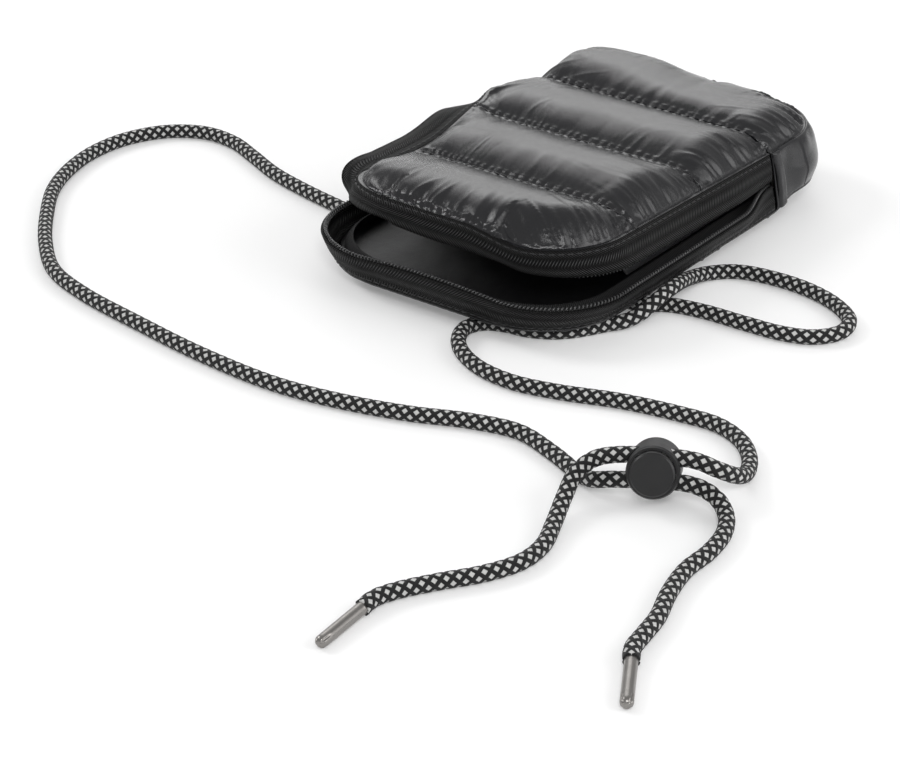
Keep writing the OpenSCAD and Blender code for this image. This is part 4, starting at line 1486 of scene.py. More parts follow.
@dataclass
class ZipTrack:
    """Both halves of the zip: woven tapes from the rims, with a coil along each free edge."""

    pattern: Pattern = Pattern()
    upper_flare: float = 5.3
    upper_lean: float = 1.0
    lower_flare: float = 5.0
    lower_reach: float = 9.0
    pitch: float = 1.45
    wire: float = 0.34
    head: float = 0.6
    narrow: float = 0.35
    held_from: float = 0.38
    swing_y: float = 62.0
    swing_run: float = 56.0
    swing_angle: float = 49.0
    swing_turn: float = 40.0
    swing_up: float = 0.1
    thread: Thread = Thread()

    def tape(self, run: MouthRun, rim: Grid, edge: Grid, seed: int,
             share: Grid | float = 1.0) -> tuple[Grid, Grid, Grid]:
        """Surfaces of a tape: straight from rim to edge, bowed out a little and slightly wavy.

        Args:
            run: Stations.
            rim: Points on the rim.
            edge: Points on the free edge.
            seed: Chooses the waves.
            share: How much of the width the tape has at each station.

        Returns:
            The outer surface, the inner one and the cloth coordinates.
        """
        t = np.linspace(0, 1, 15)[None, :, None] * np.broadcast_to(share, (len(rim),))[:, None, None]
        out = self.face(run, rim, edge)[:, None]
        s = run_along(rim)[:, None, None]
        wave = 0.35 * cloth_noise(s / 17, t * 1.2, seed) + 0.12 * cloth_noise(s / 5, t * 2, seed + 1)
        bow = 0.5 * np.sin(np.pi * t) + wave * np.sin(np.pi * np.clip(t * 0.9 + 0.05, 0, 1))
        outer = rim[:, None] + (edge - rim)[:, None] * t + bow * out
        inner = outer - self.pattern.tape_t * out
        uv = np.stack(np.broadcast_arrays(s[..., 0], t[..., 0] * self.pattern.tape_w), -1)
        return outer, inner, uv

    def coil(self, run: MouthRun, rim: Grid, edge: Grid) -> Grid:
        """Rings of a coil's wire: an oval spiral along the tape's free edge, inside the tape, whose
        heads stand a little past the edge.

        Args:
            run: Stations.
            rim: Points on the rim.
            edge: Points on the free edge.

        Returns:
            Rings by points by 3.
        """
        p = self.pattern
        back = unit(rim - edge)
        face = self.face(run, rim, edge)
        middle = edge + back * (p.coil_w / 2 - self.head) - face * (p.tape_t + p.coil_t / 2)
        length = run_along(middle)
        at = np.linspace(0, length[-1], int(length[-1] / self.pitch * 9))
        angle = 2 * np.pi * at / self.pitch
        c, b, o = sample(at, length, middle), unit(sample(at, length, back)), unit(sample(at, length, face))
        wire = c - b * (np.cos(angle) * (p.coil_w / 2 + 0.1 - self.wire))[:, None] \
            + o * (np.sin(angle) * (p.coil_t / 2 - self.wire))[:, None]
        return round_tube(wire, self.wire, 5)

    def make(self, wardrobe: Wardrobe) -> None:
        """Build and dress tapes, coils and their seams.

        Args:
            wardrobe: Dresses the pieces.
        """
        self.lower(wardrobe)
        self.upper(wardrobe)
        self.held(wardrobe)

    def lower(self, wardrobe: Wardrobe) -> None:
        """The tape that stands on the back's rim, with its coil and seam.

        Args:
            wardrobe: Dresses the pieces.
        """
        p = self.pattern
        run = MouthRun(p, p.zip_end)
        rim = run.rim(p.half_back, -p.back_reach, p.floor_z)
        edge = run.edge(rim, p.half_back + self.lower_flare, -self.lower_reach, 1)
        outer, inner, uv = self.tape(run, rim, edge, 31)
        tape = shell("base_tape", p.seat(outer), p.seat(inner), uv)
        wardrobe.dress(tape, Finish.TAPE, Body.POUCH, "lower_tape")
        coil = tube("base_coil", p.seat(self.coil(run, rim, edge)))
        wardrobe.dress(coil, Finish.COIL, Body.POUCH, "lower_coil")
        seam = self.thread.row("base_tape_stitches", p.seat(self.seam(outer, run)), run.out())
        wardrobe.dress(seam, Finish.THREAD, Body.POUCH)

    def hanging(self, far_y: float) -> tuple[MouthRun, Grid, Grid]:
        """The run, rim and free edge of the tape that hangs from the lid's rim.

        Args:
            far_y: Where it ends on the far side.

        Returns:
            Stations, points on the rim and points on the free edge.
        """
        p = self.pattern
        run = MouthRun(p, far_y)
        rim = run.rim(p.half_front, 0, p.front_z)
        edge = run.edge(rim, p.half_front + self.upper_flare, self.upper_lean, -1)
        return run, rim, edge

    def upper(self, wardrobe: Wardrobe) -> None:
        """The lid's tape, with its coil and seam. Past the held stretch only its sewn part goes on.

        Args:
            wardrobe: Dresses the pieces.
        """
        p = self.pattern
        run, rim, edge = self.hanging(p.held_y)
        coil = tube("lid_coil", p.lid(self.coil(run, rim, self.spread(run, rim, edge))))
        wardrobe.dress(coil, Finish.COIL, Body.LID, "upper_coil")
        run, rim, edge = self.hanging(p.near_end)
        past = (run.side < 0) & (run.angle == 0) & (run.y > p.held_y)
        share = np.where(past, self.narrow, 1.0)
        outer, inner, uv = self.tape(run, rim, self.spread(run, rim, edge), 37, share)
        tape = shell("lid_tape", p.lid(outer), p.lid(inner), uv)
        wardrobe.dress(tape, Finish.TAPE, Body.LID, "upper_tape")
        seam = self.thread.row("lid_tape_stitches", p.lid(self.seam(outer, run)), run.out())
        wardrobe.dress(seam, Finish.THREAD, Body.LID)

    def held(self, wardrobe: Wardrobe) -> None:
        """The last stretch of upper zip, which the slider holds and which stays with the pouch.

        Args:
            wardrobe: Dresses the pieces.
        """
        p = self.pattern
        run, rim, edge = self.hanging(p.zip_end)
        keep = (run.side < 0) & (run.angle == 0) & (run.y > p.held_y + p.gap)
        part, rim, edge = run.only(keep), rim[keep], edge[keep]
        low = rim + (edge - rim) * self.held_from
        outer, inner, uv = self.tape(part, low, edge, 41)
        tape = shell("held_tape", p.seat(outer), p.seat(inner), uv)
        wardrobe.dress(tape, Finish.TAPE, Body.POUCH, "held_zip")
        coil = tube("held_coil", p.seat(self.coil(part, rim, edge)))
        wardrobe.dress(coil, Finish.COIL, Body.POUCH)

    def seam(self, outer: Grid, run: MouthRun) -> Grid:
        """Line of a tape's seam, on its outer face near the rim."""
        return outer[:, 2] + run.out() * self.thread.out

    def spread(self, run: MouthRun, rim: Grid, edge: Grid) -> Grid:
        """The lid's tape where the far rim is drawn in: it swings out until it lies almost level.

        Args:
            run: Stations.
            rim: Points on the rim.
            edge: Points on the free edge, hanging.

        Returns:
            The free edge as it lies.
        """
        share = (1 - smooth((run.y - self.swing_y) / self.swing_run)) \
            * smooth((self.swing_angle - run.angle) / self.swing_turn)
        share = np.where(run.side < 0, share, 0)
        level = rim + self.pattern.tape_w * (run.out() + [0, 0, self.swing_up])
        middle = edge * (1 - share[:, None]) + level * share[:, None] - rim
        return rim + unit(middle) * self.pattern.tape_w

    def face(self, run: MouthRun, rim: Grid, edge: Grid) -> Grid:
        """Direction that a tape's outer face looks in, square to its length and its width.

        Args:
            run: Stations.
            rim: Points on the rim.
            edge: Points on the free edge.

        Returns:
            A unit vector for each station.
        """
        square = unit(np.cross(np.gradient(rim, axis=0), edge - rim))
        return square * np.sign(np.mean(np.sum(square * run.out(), 1)))


@dataclass
class EndWall:
    """The fixed wall round the hinge end, its lining, and the folded tabs over the zip ends."""

    pattern: Pattern = Pattern()
    start: float = 130.8
    bulge: float = 3.0
    tab_w: float = 5.0
    cloth_t: float = 0.8
    lining_in: float = 2.7
    side_stations: int = 20

    def stations(self) -> tuple[Grid, Grid, Grid, Grid]:
        """Stations from the near zip end round the hinge end to the far one, about 1 mm apart.

        Returns:
            m, side, angle and place along the side.
        """
        p, count = self.pattern, self.side_stations
        side_y = np.linspace(self.start, p.length - p.end_corner, count)
        arc = np.linspace(0, 90, int(p.end_corner * math.pi / 2))
        flat = np.linspace(1, -1, int(2 * (p.half_front - p.end_corner)))[1:-1]
        one = np.ones
        m = np.concatenate([one(count), one(len(arc)), flat, -one(len(arc)), -one(count)])
        angle = np.concatenate([0 * side_y, arc, 90 + 0 * flat, arc[::-1], 0 * side_y])
        turn = p.length - p.end_corner * (1 - np.sin(np.radians(arc)))
        y = np.concatenate([side_y, turn, 0 * flat, turn[::-1], side_y[::-1]])
        side = np.where(m >= 0, 1.0, -1.0)
        return m, side, angle, y

    def outline(self, half: float, z: float) -> Grid:
        """Points on a rim: straight sides and end, joined by circles.

        Args:
            half: The rim's half width.
            z: Its level.

        Returns:
            One point for each station.
        """
        p, r = self.pattern, self.pattern.end_corner
        m, side, angle, y = self.stations()
        a = np.radians(angle)
        x = m * (half - r) + np.where(angle == 90, 0, side * r * np.cos(a))
        along = np.where(angle == 0, y, p.length - r * (1 - np.sin(a)))
        return np.stack([x, along, np.full_like(x, z)], -1)

    def wall(self, low: float, high: float, depth: float, seed: int, crease: float) -> tuple[Grid, Grid]:
        """A wall between the two rims: a straight lean from foot to head, swollen by a parabola,
        with creases that run away from both seams.

        Args:
            low: Height of the foot.
            high: Height of the head.
            depth: How far inside the outer face it lies.
            seed: Chooses the creases.
            crease: Height of the creases.

        Returns:
            The surface and its outward directions.
        """
        p = self.pattern
        _, side, angle, y = self.stations()
        a = np.radians(angle)
        flat_side = np.where(angle == 90, 0, side)
        out = np.stack([flat_side * np.cos(a), np.sin(a), 0 * a], -1)
        foot, head = self.outline(p.half_back, low), self.outline(p.half_front, high)
        foot[:, 2] += p.end_rise(foot[:, 1])
        begin = self.start + self.tab_w
        fade = smooth((y - begin) / (p.length - p.end_corner - begin))
        swell = self.bulge * np.where(angle > 0, 1, 0.25 + 0.75 * fade)
        t = np.linspace(0, 1, 21)[None, :, None]
        s = run_along(foot)[:, None, None]
        seam = np.minimum(t, 1 - t)
        folds = cloth_noise(s / 5.5, t * 2.5, seed) * np.exp(-seam / 0.16) * (1 - np.exp(-seam / 0.03)) \
            + 0.6 * cloth_noise(s / 14 + t * 1.3, t * 3, seed + 1) * np.sin(np.pi * t)
        rise = swell[:, None, None] * (1 - (2 * t - 1) ** 2) + crease * folds - depth
        surface = foot[:, None] + (head - foot)[:, None] * t + rise * out[:, None]
        return surface, out[:, None] + 0 * surface

    def make(self, wardrobe: Wardrobe) -> None:
        """Build and dress wall, lining and tabs.

        Args:
            wardrobe: Dresses the pieces.
        """
        p = self.pattern
        outer, out = self.wall(p.floor_z, p.front_z, 0, 51, 0.9)
        uv = outer[..., [1, 2]] + outer[..., [0, 0]] * [1, 0]
        wall = shell("end_wall", p.seat(outer), p.seat(outer - self.cloth_t * out), uv)
        wardrobe.dress(wall, Finish.QUILT, Body.POUCH, "end_gusset")
        inside, out = self.wall(p.lining_z, p.front_z - p.wadding - p.lining, self.lining_in, 57, 0.5)
        lining = shell("end_wall_lining", p.seat(inside), p.seat(inside - p.lining * out), inside[..., [0, 2]])
        wardrobe.dress(lining, Finish.LINING, Body.POUCH, "gusset_lining")
        for side, node in ((1, "near_tab"), (-1, "far_tab")):
            self.tab(wardrobe, side, node)

    def tab(self, wardrobe: Wardrobe, side: int, node: str) -> None:
        """A folded tab over a zip end: a narrow strip that follows the wall, with rounded folds.

        Args:
            wardrobe: Dresses the pieces.
            side: 1 for the near side, -1 for the far one.
            node: The CAD node that it stands for.
        """
        p = self.pattern
        t = np.linspace(0, 1, 25)[:, None]
        s = np.linspace(0, 1, 17)[None, :]
        slant = 2.2 * (1 - t)
        y = self.start - 0.2 + slant * 0.6 + s * self.tab_w
        x = p.half_back + (p.half_front - p.half_back) * t
        swell = self.bulge * 0.3 * (1 - (2 * t - 1) ** 2)
        roll = 1.25 * (1 - np.abs(2 * s - 1) ** 5) + 0.12 * cloth_noise(t * 7, s * 2, 61)
        foot = p.floor_z + p.end_rise(y)
        z = foot + (p.front_z - foot) * t
        outer = np.stack([side * (x + swell + roll), y + 0 * x, z], -1)
        inner = np.stack([side * (x + swell - 0.1 + 0 * s), y + 0 * x, z], -1)
        piece = shell(node + "_fold", p.seat(outer), p.seat(inner), outer[..., [1, 2]])
        wardrobe.dress(piece, Finish.QUILT, Body.POUCH, node)


@dataclass
class Inside:
    """Linings, the ribbon over the rim seam, and the pleated pocket."""

    pattern: Pattern = Pattern()
    pocket_half: float = 46.0
    pocket_y: float = 48.0
    pocket_l: float = 76.0
    pocket_h: float = 8.4
    pleat: float = 4.0
    hem: float = 6.0
    side_t: float = 0.5
    end_t: float = 0.6
    wave: float = 0.25
    ribbon_w: float = 4.6
    ribbon_t: float = 0.6
    ribbon_lean: float = 0.6
    strip_half: float = 4.0
    strip_in: float = 0.35
    strip_t: float = 0.5
    bend: float = 2.5

    def plate(self, half: float, y0: float, y1: float, z: float, seed: int, ends: bool) -> tuple[Grid, Grid]:
        """A lining sheet in a panel's outline, with shallow waves that fade at its rim.

        Args:
            half: Half width.
            y0: Its mouth end.
            y1: Its hinge end.
            z: Its level.
            seed: Chooses the waves.
            ends: Whether the hinge end is rounded as well.

        Returns:
            The surface and its cloth coordinates.
        """
        p = self.pattern
        y = np.linspace(y0, y1, 91)[:, None]
        far = y1 if ends else math.inf
        r, q = p.corner - p.inset, p.end_corner - p.inset
        low, high = np.clip(y0 + r - y, 0, r), np.clip(y - far + q, 0, q)
        width = np.minimum(half - r + np.sqrt(r * r - low**2), half - q + np.sqrt(q * q - high**2))
        x = np.linspace(-1, 1, 61)[None, :] * width
        fade = np.clip((width - np.abs(x)) / 8, 0, 1) * np.clip((y - y0) / 6, 0, 1) * np.clip((y1 - y) / 6, 0, 1)
        wave = cloth_noise(x / 22, y / 13, seed) + 0.5 * cloth_noise(x / 8, y / 9, seed + 1)
        surface = np.stack([x, y + 0 * x, z + self.wave * fade * wave], -1)
        return surface, surface[..., :2]

    def make(self, wardrobe: Wardrobe) -> None:
        """Build and dress linings, ribbon and pocket.

        Args:
            wardrobe: Dresses the pieces.
        """
        self.linings(wardrobe)
        self.hinge_strip(wardrobe)
        self.ribbon(wardrobe)
        self.pocket(wardrobe)

    def linings(self, wardrobe: Wardrobe) -> None:
        """Linings of the lid, of the front's fixed end and of the back.

        Args:
            wardrobe: Dresses the pieces.
        """
        p = self.pattern
        half, level = p.half_front - p.inset, p.front_z - p.wadding - p.lining
        face, uv = self.plate(half, p.inset, p.hinge_y - p.gap, level, 71, False)
        piece = shell("lid_lining", p.lid(face + [0, 0, p.lining]), p.lid(face), uv)
        wardrobe.dress(piece, Finish.LINING, Body.LID, "front_lining")
        band = np.linspace(p.hinge_y + p.gap, p.length - p.inset, 40)[:, None]
        r = p.end_corner - p.inset
        width = half - r + np.sqrt(r * r - np.clip(band - p.length + p.inset + r, 0, r) ** 2)
        x = np.linspace(-1, 1, 41)[None, :] * width
        end = np.stack([x, band + 0 * x, np.full_like(x, level)], -1)
        piece = shell("end_lining_cloth", p.seat(end + [0, 0, p.lining]), p.seat(end), end[..., :2])
        wardrobe.dress(piece, Finish.LINING, Body.POUCH, "end_lining")
        half, mouth = p.half_back - p.inset, p.inset - p.back_reach
        face, uv = self.plate(half, mouth, p.length - p.inset, p.lining_z, 77, True)
        face[..., 2] += p.base_rise(face[..., 0], face[..., 1])
        piece = shell("back_lining_cloth", p.seat(face), p.seat(face - [0, 0, p.lining]), uv)
        wardrobe.dress(piece, Finish.LINING, Body.POUCH, "back_lining")

    def hinge_strip(self, wardrobe: Wardrobe) -> None:
        """The seam allowance behind the hinge seam, a narrow strip.

        Args:
            wardrobe: Holds the materials.
        """
        p = self.pattern
        y = np.linspace(p.hinge_y - self.strip_half, p.hinge_y + self.strip_half, 17)[:, None]
        x = np.linspace(-1, 1, 31)[None, :] * (p.half_front - 3)
        face = np.stack([x + 0 * y, y + 0 * x, np.full((17, 31), p.front_z - self.strip_in)], -1)
        piece = shell("hinge_strip", p.seat(face), p.seat(face - [0, 0, self.strip_t]), face[..., :2])
        piece.data.materials.append(wardrobe.materials[Finish.QUILT])
        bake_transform(piece)

    def ribbon(self, wardrobe: Wardrobe) -> None:
        """Ribbed ribbon over the back rim's inner seam, leaning into the pouch.

        Args:
            wardrobe: Dresses the piece.
        """
        p, w = self.pattern, self.ribbon_w
        run = MouthRun(p, p.held_y)
        foot = run.rim(p.half_back - p.inset, p.inset - p.back_reach, p.lining_z) - p.tape_t * run.out()
        t = np.linspace(0, 1, 11)[None, :, None]
        s = run_along(foot)[:, None, None]
        wave = 0.25 * cloth_noise(s / 13, t, 81)
        lean = (self.ribbon_lean * w) * t**1.3 - 0.5 * np.sin(np.pi * t) + wave * np.sin(np.pi * t)
        outer = foot[:, None] - lean * run.out()[:, None] + [0, 0, w] * t
        inner = outer - self.ribbon_t * run.out()[:, None]
        uv = np.stack(np.broadcast_arrays(s[..., 0], w * t[..., 0]), -1)
        piece = shell("rim_ribbon", p.seat(outer), p.seat(inner), uv)
        wardrobe.dress(piece, Finish.RIBBON, Body.POUCH, "rim_binding")

    def pocket(self, wardrobe: Wardrobe) -> None:
        """The pocket: a front sheet on two pleated sides and a closed end, with a folded hem.

        Args:
            wardrobe: Dresses the pieces.
        """
        p, h, w = self.pattern, self.pocket_h, self.pocket_half
        y = np.linspace(self.pocket_y + self.hem, self.pocket_y + self.pocket_l, 51)[:, None]
        x = np.linspace(-1, 1, 61)[None, :] * w
        fade = np.clip((w - np.abs(x)) / 10, 0, 1)
        sag = -0.5 * fade + 0.45 * fade * cloth_noise(x / 16 + y / 30, y / 12, 91)
        face = np.stack([x + 0 * y, y + 0 * x, p.lining_z + h + p.lining + sag], -1)
        sheet = shell("pocket_front", p.seat(face), p.seat(face - [0, 0, p.lining]), face[..., :2])
        wardrobe.dress(sheet, Finish.POCKET, Body.POUCH, "pocket_panel")
        self.folded_hem(wardrobe)
        self.side_pleat(wardrobe, 1, "pocket_side_near", "pocket_sides")
        self.side_pleat(wardrobe, -1, "pocket_side_far", "pocket_side_far_pleat")
        t = np.linspace(0, 1, 9)[:, None]
        x = np.linspace(-w, w, 41)[None, :]
        y = self.pocket_y + self.pocket_l + 0.3 * cloth_noise(x / 12, t * 2, 97)
        wall = np.stack([x + 0 * t, y - 0.3 + 0 * x, p.lining_z + h * t + 0 * x], -1)
        piece = shell("pocket_end_wall", p.seat(wall), p.seat(wall - [0, self.end_t, 0]), wall[..., [0, 2]])
        wardrobe.dress(piece, Finish.POCKET, Body.POUCH, "pocket_end")

    def folded_hem(self, wardrobe: Wardrobe) -> None:
        """The pocket's hem: a flattened tube, whose section is an oval with sharpened powers of
        cosine and sine.

        Args:
            wardrobe: Dresses the piece.
        """
        p, w = self.pattern, self.pocket_half
        turn = np.linspace(0, 2 * np.pi, 25)[:-1]
        shape = np.stack([np.sign(np.cos(turn)) * np.abs(np.cos(turn)) ** 0.5 * self.hem / 2,
                          np.sign(np.sin(turn)) * np.abs(np.sin(turn)) ** 0.8 * p.lining], -1)
        x = np.linspace(-w, w, 41)[:, None]
        sag = -0.4 * np.clip((w - np.abs(x)) / 10, 0, 1)
        rings = np.stack(np.broadcast_arrays(
            x, self.pocket_y + self.hem / 2 + shape[None, :, 0],
            p.lining_z + self.pocket_h + p.lining + sag + shape[None, :, 1]), -1)
        around = np.linspace(0, 2 * self.hem, 25)[None, :]
        uv = np.stack(np.broadcast_arrays(x, around), -1)
        hem = tube("pocket_hem_fold", p.seat(rings), uv)
        wardrobe.dress(hem, Finish.POCKET, Body.POUCH, "pocket_hem")

    def side_pleat(self, wardrobe: Wardrobe, side: int, node: str, name: str) -> None:
        """One pleated side: its line runs in to the pleat's fold at half height and out again.

        Args:
            wardrobe: Dresses the piece.
            side: 1 for the near side, -1 for the far one.
            node: The CAD node that it stands for.
            name: The piece's name.
        """
        p = self.pattern
        y = np.linspace(self.pocket_y + 0.3, self.pocket_y + self.pocket_l - 1, 51)[:, None]
        t = np.linspace(0, 1, 21)[None, :]
        fold = (1 - np.abs(2 * t - 1)) ** 0.85
        dip = fold * (self.pleat + 0.5 * cloth_noise(y / 15, t * 2, 95 + side))
        face = np.stack([side * (self.pocket_half - dip), y + 0 * t, p.lining_z + self.pocket_h * t + 0 * y], -1)
        piece = shell(name, p.seat(face), p.seat(face - [side * self.side_t, 0, 0]), face[..., [1, 2]])
        wardrobe.dress(piece, Finish.POCKET, Body.POUCH, node)


# ---- Cord, tips and lock


NEAR_ROUTE = (
    (46, -44.5, 3.3), (50, -44.5, 3.3), (57, -41.5, 2.8), (64.5, -36.5, 2.65), (77, -33.8, 2.65),
    (92, -33.2, 2.65), (107, -32, 2.65), (117, -28, 2.65), (122.5, -20, 2.65),
    (121, -10.5, 2.65), (111.5, -2.5, 2.65), (97, 2.5, 2.65), (81, 3, 2.65),
    (69, 0, 2.65), (61.8, -7.5, 2.9), (60.6, -18, 4.8), (62.5, -27, 7.3), (63.9, -36, 8.6),
    (63.6, -45, 7.4), (62, -52.5, 4.8), (59, -58, 3.3), (55.5, -62, 2.9),
    (52.5, -66.5, 2.65), (48.3, -73, 2.65), (42.5, -78.5, 2.65), (35, -82, 2.65),
    (27.2, -83.3, 2.65), (20.6, -86.4, 2.65), (17.5, -93, 2.65), (20.5, -101.5, 2.65),
    (28, -109, 2.65), (39.5, -114.5, 2.65), (54, -116, 2.65), (70, -112.5, 2.65),
    (90, -105.5, 2.65), (110, -101.5, 2.65), (124, -100.5, 2.65), (135.5, -105, 2.65),
    (144, -113.5, 2.65), (148.8, -123.5, 3.6), (150, -132, 7.2), (147.3, -138.8, 11.6),
    (141.2, -142.9, 14.6), (120, -154.2, 14.6), (114, -158.2, 12.6), (111.6, -164, 9.4),
    (113.2, -172, 5.8), (117.5, -184, 3.2), (121.8, -196, 2.65), (122, -207.5, 2.65),
    (117, -219.5, 2.65), (109, -231, 2.65), (102, -242.5, 2.65), (99.5, -250, 2.8),
    (99.8, -256, 2.65))
MIDDLE_ROUTE = (
    (46, -44.5, 3.3), (37, -44.5, 3.3), (28, -44.5, 2.65), (-28, -44.5, 2.65), (-37, -44.5, 3.3),
    (-46, -44.5, 3.3))
FAR_ROUTE = (
    (-46, -44.5, 3.3), (-50, -44.5, 3.3), (-62, -43.5, 2.65), (-80, -41, 2.65),
    (-100, -37, 2.65), (-118, -32, 2.65), (-135, -24.5, 2.65), (-150, -18.5, 2.65),
    (-165, -18, 2.65), (-178, -26, 2.65), (-186, -41, 2.65), (-187.5, -58, 2.65),
    (-184, -75, 2.65), (-176.5, -92, 2.65), (-164, -109, 2.65), (-146, -129, 2.65),
    (-127, -144.5, 2.65), (-106, -152, 2.65), (-76, -157.5, 2.65), (-42, -162.5, 2.65),
    (-8, -164, 2.65), (18, -160, 2.65), (40, -153.5, 2.65), (58, -146, 2.65),
    (75, -142.5, 2.65), (92, -147.5, 2.65), (106, -153.8, 3), (113.5, -157.3, 5),
    (121.2, -156.3, 7.2), (142.4, -145, 7.2), (150, -144, 5.2), (156.5, -147.9, 3.2),
    (161.5, -156.5, 2.65), (164, -169, 2.65), (164, -182, 2.65), (167, -196, 2.65),
    (171.5, -209, 2.65), (173.4, -219.5, 2.65), (175, -227.3, 2.8), (178, -232.5, 2.65))
NEAR_TIP = (101.1, -277.8, 2.1)
FAR_TIP = (189.0, -251.5, 2.1)


@dataclass
class ShoulderCord:
    """One braided cord in three stretches, with a metal tip on each end and two webbing loops."""

    radius: float = 2.65
    meshes: int = 4
    sides: int = 32
    pitch: float = 3.9
    relief: float = 0.28
    step: float = 0.45
    tip_d: float = 4.1
    tip_l: float = 22.0
    petals: int = 4
    petal_l: float = 2.2
    loop_x: float = 42.0
    loop_y: float = -44.5
    loop_w: float = 8.0
    loop_r: float = 3.3
    loop_t: float = 0.5
    loop_top: float = 5.94

    def braid(self, name: str, route: Sequence[Sequence[float]]) -> tuple[bpy.types.Object, Grid]:
        """A braided stretch: a round tube of two sets of strands that wind opposite ways, sunk in
        the meshes between them, where both slanted cosines are large.

        Args:
            name: The piece's name.
            route: Points that the cord passes through.

        Returns:
            The piece and the path that it follows.
        """
        path = smooth_path(route, self.step)
        u = run_along(path)[:, None] / self.pitch
        v = np.linspace(0, self.meshes, self.sides + 1)[None, :]
        cell = np.minimum(np.abs(np.cos(np.pi * (u + v))), np.abs(np.cos(np.pi * (u - v))))[:, :-1]
        rings = round_tube(path, self.radius - self.relief * smooth((cell - 0.4) / 0.4), self.sides)
        rings[..., 2] = np.maximum(rings[..., 2], 0.0)
        return tube(name, rings, np.stack(np.broadcast_arrays(u, v), -1)), path

    def make(self, wardrobe: Wardrobe) -> None:
        """Args:
            wardrobe: Dresses the pieces.
        """
        tips = [self.tip(wardrobe, "near_cord_tip", NEAR_ROUTE[-1], NEAR_TIP, "aglet_near"),
                self.tip(wardrobe, "far_cord_tip", FAR_ROUTE[-1], FAR_TIP, "aglet_far")]
        stretches = (("near_cord", NEAR_ROUTE, "cord_near", "fitting", tips[:1]),
                     ("middle_cord", MIDDLE_ROUTE, "cord_middle", "object", []),
                     ("far_cord", FAR_ROUTE, "cord_far", "fitting", tips[1:]))
        for name, route, node, end, with_pieces in stretches:
            piece, path = self.braid(name, route)
            wardrobe.dress(piece, Finish.BRAID, Body.POUCH, node)
        for side, node in ((1, "cord_loop_near"), (-1, "cord_loop_far")):
            self.loop(wardrobe, side, node)

    def tip(self, wardrobe: Wardrobe, name: str, root: Point, end: Point, node: str) -> bpy.types.Object:
        """A crimped metal tip: a turned sleeve with a rolled mouth and a domed, petalled end.

        Args:
            wardrobe: Dresses the pieces.
            name: The piece's name.
            root: Where the cord enters.
            end: The point that the tip reaches towards.
            node: The CAD node that it stands for.

        Returns:
            The piece.
        """
        r, length = self.tip_d / 2, self.tip_l
        rounding = np.linspace(0, np.pi / 2, 12)
        mouth = np.array([(0, r - 0.25), (0.05, r - 0.05), (0.25, r + 0.05), (0.8, r + 0.02)])
        sleeve = np.stack([np.linspace(1.4, length - r - 0.6, 24), np.full(24, r)], -1)
        dome = np.stack([length - r + r * np.sin(rounding) * 0.999, r * np.cos(rounding) ** 0.8], -1)
        profile = np.concatenate([mouth, sleeve, dome])
        axis = np.subtract(end, root)
        rings = lathe(profile, np.asarray(root, float), axis, 48)
        heights = profile[:, :1]
        centre = np.asarray(root, float) + heights * unit(axis)
        angle = np.linspace(0, 2 * np.pi, 48, endpoint=False)
        reach = np.clip((heights - (length - r - self.petal_l)) / 1.2, 0, 1)
        slit = np.exp(-((np.mod(angle * self.petals / (2 * np.pi), 1) - 0.5) / 0.07) ** 2)[None, :]
        pull = 1 - 0.28 * reach * slit
        rings = centre[:, None] + (rings - centre[:, None]) * pull[..., None]
        return wardrobe.dress(tube(name, rings), Finish.METAL, Body.POUCH, node)

    def loop(self, wardrobe: Wardrobe, side: int, node: str) -> None:
        """A webbing loop: a flat strap down from the seam, round the cord and up again.

        Args:
            wardrobe: Dresses the pieces.
            side: 1 for the near side, -1 for the far one.
            node: The CAD node that it stands for.
        """
        outer, inside = self.strap(side, self.loop_r - 0.02), self.strap(side, self.loop_r - self.loop_t)
        run = np.linspace(0, 20, outer.shape[1])[None, :]
        uv = np.stack(np.broadcast_arrays(run, outer[:, :1, 0]), -1)
        wardrobe.dress(shell(node + "_strap", outer, inside, uv), Finish.RIBBON, Body.POUCH, node)

    def strap(self, side: int, r: float) -> Grid:
        """One face of a loop's strap: a half circle round the cord with straight ends.

        Args:
            side: 1 for the near side, -1 for the far one.
            r: Radius of the face's half circle.

        Returns:
            Its grid, from edge to edge by along the strap by 3.
        """
        a = np.linspace(-np.pi, 0, 25)
        bend = np.stack([np.cos(a) * r, self.loop_r + np.sin(a) * r], -1)
        line = np.concatenate([[[-r, self.loop_top]], bend, [[r, self.loop_top]]])
        x = np.linspace(side * self.loop_x - self.loop_w / 2, side * self.loop_x + self.loop_w / 2, 13)[:, None]
        return np.stack(np.broadcast_arrays(x, self.loop_y + line[None, :, 0], line[None, :, 1]), -1)


@dataclass(frozen=True)
class Lamp:
    """A square soft lamp: its place and size in metres and its power in watts."""

    name: str
    place: Point
    size: float
    power: float


